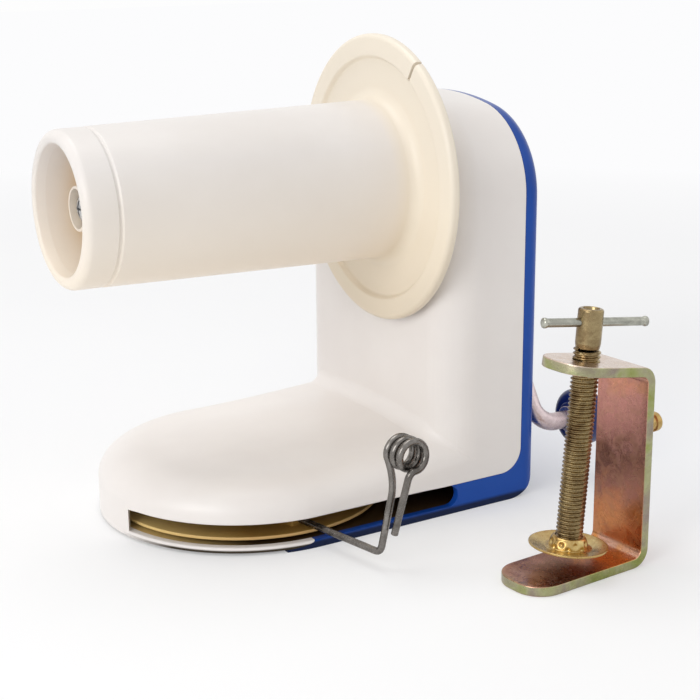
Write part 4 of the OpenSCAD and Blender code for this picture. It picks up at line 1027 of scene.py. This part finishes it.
def padSkin():
    # a dished sheet, its rim turned up, with a round collar pressed onto the screw at two rows of marks
    collar, top, radius, low = clamp["collarRadius"], clamp["collarTop"], clamp["padRadius"], -clamp["padLow"]
    bore, foot = clamp["screwRadius"] + 0.04, -0.6
    profile = roundedPath([
        (0, low, 0), (collar + 0.5, low, 1), (radius, low + 1.65, 0.2), (radius, low + 2.25, 0.12),
        (radius - 0.35, low + 2.25, 0.12), (collar + 1.3, low + 1.2, 1.2), (collar + 0.1, low + 1.4, 0),
    ])
    for i in range(17):
        inward, rise = turnPoint(1, math.pi / 2 * i / 16)
        profile.append((bore + 0.1 + (collar - bore - 0.1) * inward, low + 1.5 + (top - low - 1.5) * rise))
    bm = turned(profile + [(bore, foot), (0, foot)], (0, 0, 0), (0, 0, 1), (1, 0, 0), 160)
    for vert in bm.verts:
        distance = math.hypot(vert.co.x, vert.co.y)
        if distance < bore + 0.2 or distance > collar + 0.6 or vert.co.z < foot + 0.1:
            continue
        angle = math.atan2(vert.co.y, vert.co.x)
        for start, height, reach, depth in ((23, 1.2, 1.3, 0.55), (45.5, 0.1, 0.8, 0.5)):
            gap = (angle - math.radians(start) + math.pi / 8) % (math.pi / 4) - math.pi / 8
            spot = math.hypot(gap * distance, vert.co.z - height)
            if spot < reach:
                dent = depth * (0.5 + 0.5 * math.cos(math.pi * spot / reach))
                vert.co.x -= dent * math.cos(angle)
                vert.co.y -= dent * math.sin(angle)
    return bm


finishPiece(placed(padSkin(), screwFrame), "clamp_foot", "pad", "screw_zinc", ["clamp_pad"],
            material=finishes["pad_zinc"])

barStart, barStop = -clamp["barLength"] / 2 - clamp["barShift"], clamp["barLength"] / 2 - clamp["barShift"]
barEnd = clamp["barRadius"] + 0.22
barProfile = roundedPath([
    (0, barStart, 0), (barEnd, barStart, 0.5), (barEnd, barStart + 1, 0.3),
    (clamp["barRadius"], barStart + 1.6, 0.3), (clamp["barRadius"], barStop - 1.6, 0.3),
    (barEnd, barStop - 1, 0.3), (barEnd, barStop, 0.5), (0, barStop, 0),
])
handle = turned(barProfile, barMiddle, barAlong, barAlong.cross(Vector((0, 0, 1))), 48)
finishPiece(placed(handle, screwFrame), "clamp_handle", "bar", "steel", ["clamp_bar"], material=finishes["bar_steel"])
print("clamp made")

# Stage, light and camera
studio = {"floorSize": 6, "shadowDepth": 0.3, "sky": 0.64, "key": 3.6, "top": 3.1, "fill": 0.35}


def stageFinish():
    # the camera sees the floor fade into the plain background, while its shadows stay near the object
    made = Finish("floor", 0.8, 0, 0.1)
    made.paint(made.ramp(made.noise(0.3, 3), (0.3, "F3F3F4"), (0.7, "F7F7F7")))
    glow = made.nodes.new("ShaderNodeEmission")
    glow.inputs["Color"].default_value = colour("FCFCFD")
    mixer = made.nodes.new("ShaderNodeMixShader")
    path = made.nodes.new("ShaderNodeLightPath")
    away = made.spread(made.distance(made.moved()), studio["shadowDepth"], 1, 0.25, 0.75)
    made.links.new(made.sums("MULTIPLY", path.outputs["Is Camera Ray"], away), mixer.inputs[0])
    made.links.new(made.shader.outputs[0], mixer.inputs[1])
    made.links.new(glow.outputs[0], mixer.inputs[2])
    made.links.new(mixer.outputs[0], made.nodes["Material Output"].inputs["Surface"])
    return made.material


floorMesh = bmesh.new()
bmesh.ops.create_grid(floorMesh, x_segments=1, y_segments=1, size=studio["floorSize"] / 2)
floor = makeObject(floorMesh, "floor")
floor.data.materials.append(stageFinish())

world = bpy.data.worlds.new("studio")
bpy.context.scene.world = world
world.use_nodes = True
sky = world.node_tree.nodes["Background"]
sky.inputs["Color"].default_value = (1, 1, 1, 1)
seen = world.node_tree.nodes.new("ShaderNodeLightPath")
bright = world.node_tree.nodes.new("ShaderNodeMath")
bright.operation = "MAXIMUM"
world.node_tree.links.new(seen.outputs["Is Camera Ray"], bright.inputs[0])
world.node_tree.links.new(seen.outputs["Is Glossy Ray"], bright.inputs[1])
level = world.node_tree.nodes.new("ShaderNodeMapRange")
level.inputs["To Min"].default_value = studio["sky"]
level.inputs["To Max"].default_value = 0.985
world.node_tree.links.new(bright.outputs[0], level.inputs["Value"])
world.node_tree.links.new(level.outputs[0], sky.inputs["Strength"])


def softLight(name, place, aim, size, power):
    data = bpy.data.lights.new(name, "AREA")
    data.shape = "DISK"
    data.size = size
    data.energy = power
    lamp = bpy.data.objects.new(name, data)
    lamp.location = place
    lamp.rotation_euler = (Vector(aim) - Vector(place)).to_track_quat("-Z", "Y").to_euler()
    bpy.context.scene.collection.objects.link(lamp)


softLight("key", (-0.85, -0.4, 0.45), (0.02, -0.02, 0.06), 0.6, studio["key"])
softLight("top", (-0.1, 0.17, 0.95), (0.02, -0.02, 0.05), 0.7, studio["top"])
softLight("fill", (0.75, -0.5, 0.45), (0.03, -0.03, 0.06), 0.7, studio["fill"])

lens = {"place": (-0.2135, -0.43418, 0.18494), "width": 36, "focal": 79.19,
        "right": (0.8622, -0.5066, -0.0081), "up": (0.1419, 0.2262, 0.9638)}
cameraData = bpy.data.cameras.new("camera")
cameraData.sensor_width = lens["width"]
cameraData.lens = lens["focal"]
cameraData.clip_start = 0.01
camera = bpy.data.objects.new("camera", cameraData)
right, up = Vector(lens["right"]).normalized(), Vector(lens["up"])
back = right.cross(up).normalized()
up = back.cross(right)
camera.matrix_world = Matrix.Translation(lens["place"]) @ Matrix((right, up, back)).transposed().to_4x4()
bpy.context.scene.collection.objects.link(camera)
bpy.context.scene.camera = camera
bpy.context.scene.view_settings.view_transform = "Standard"
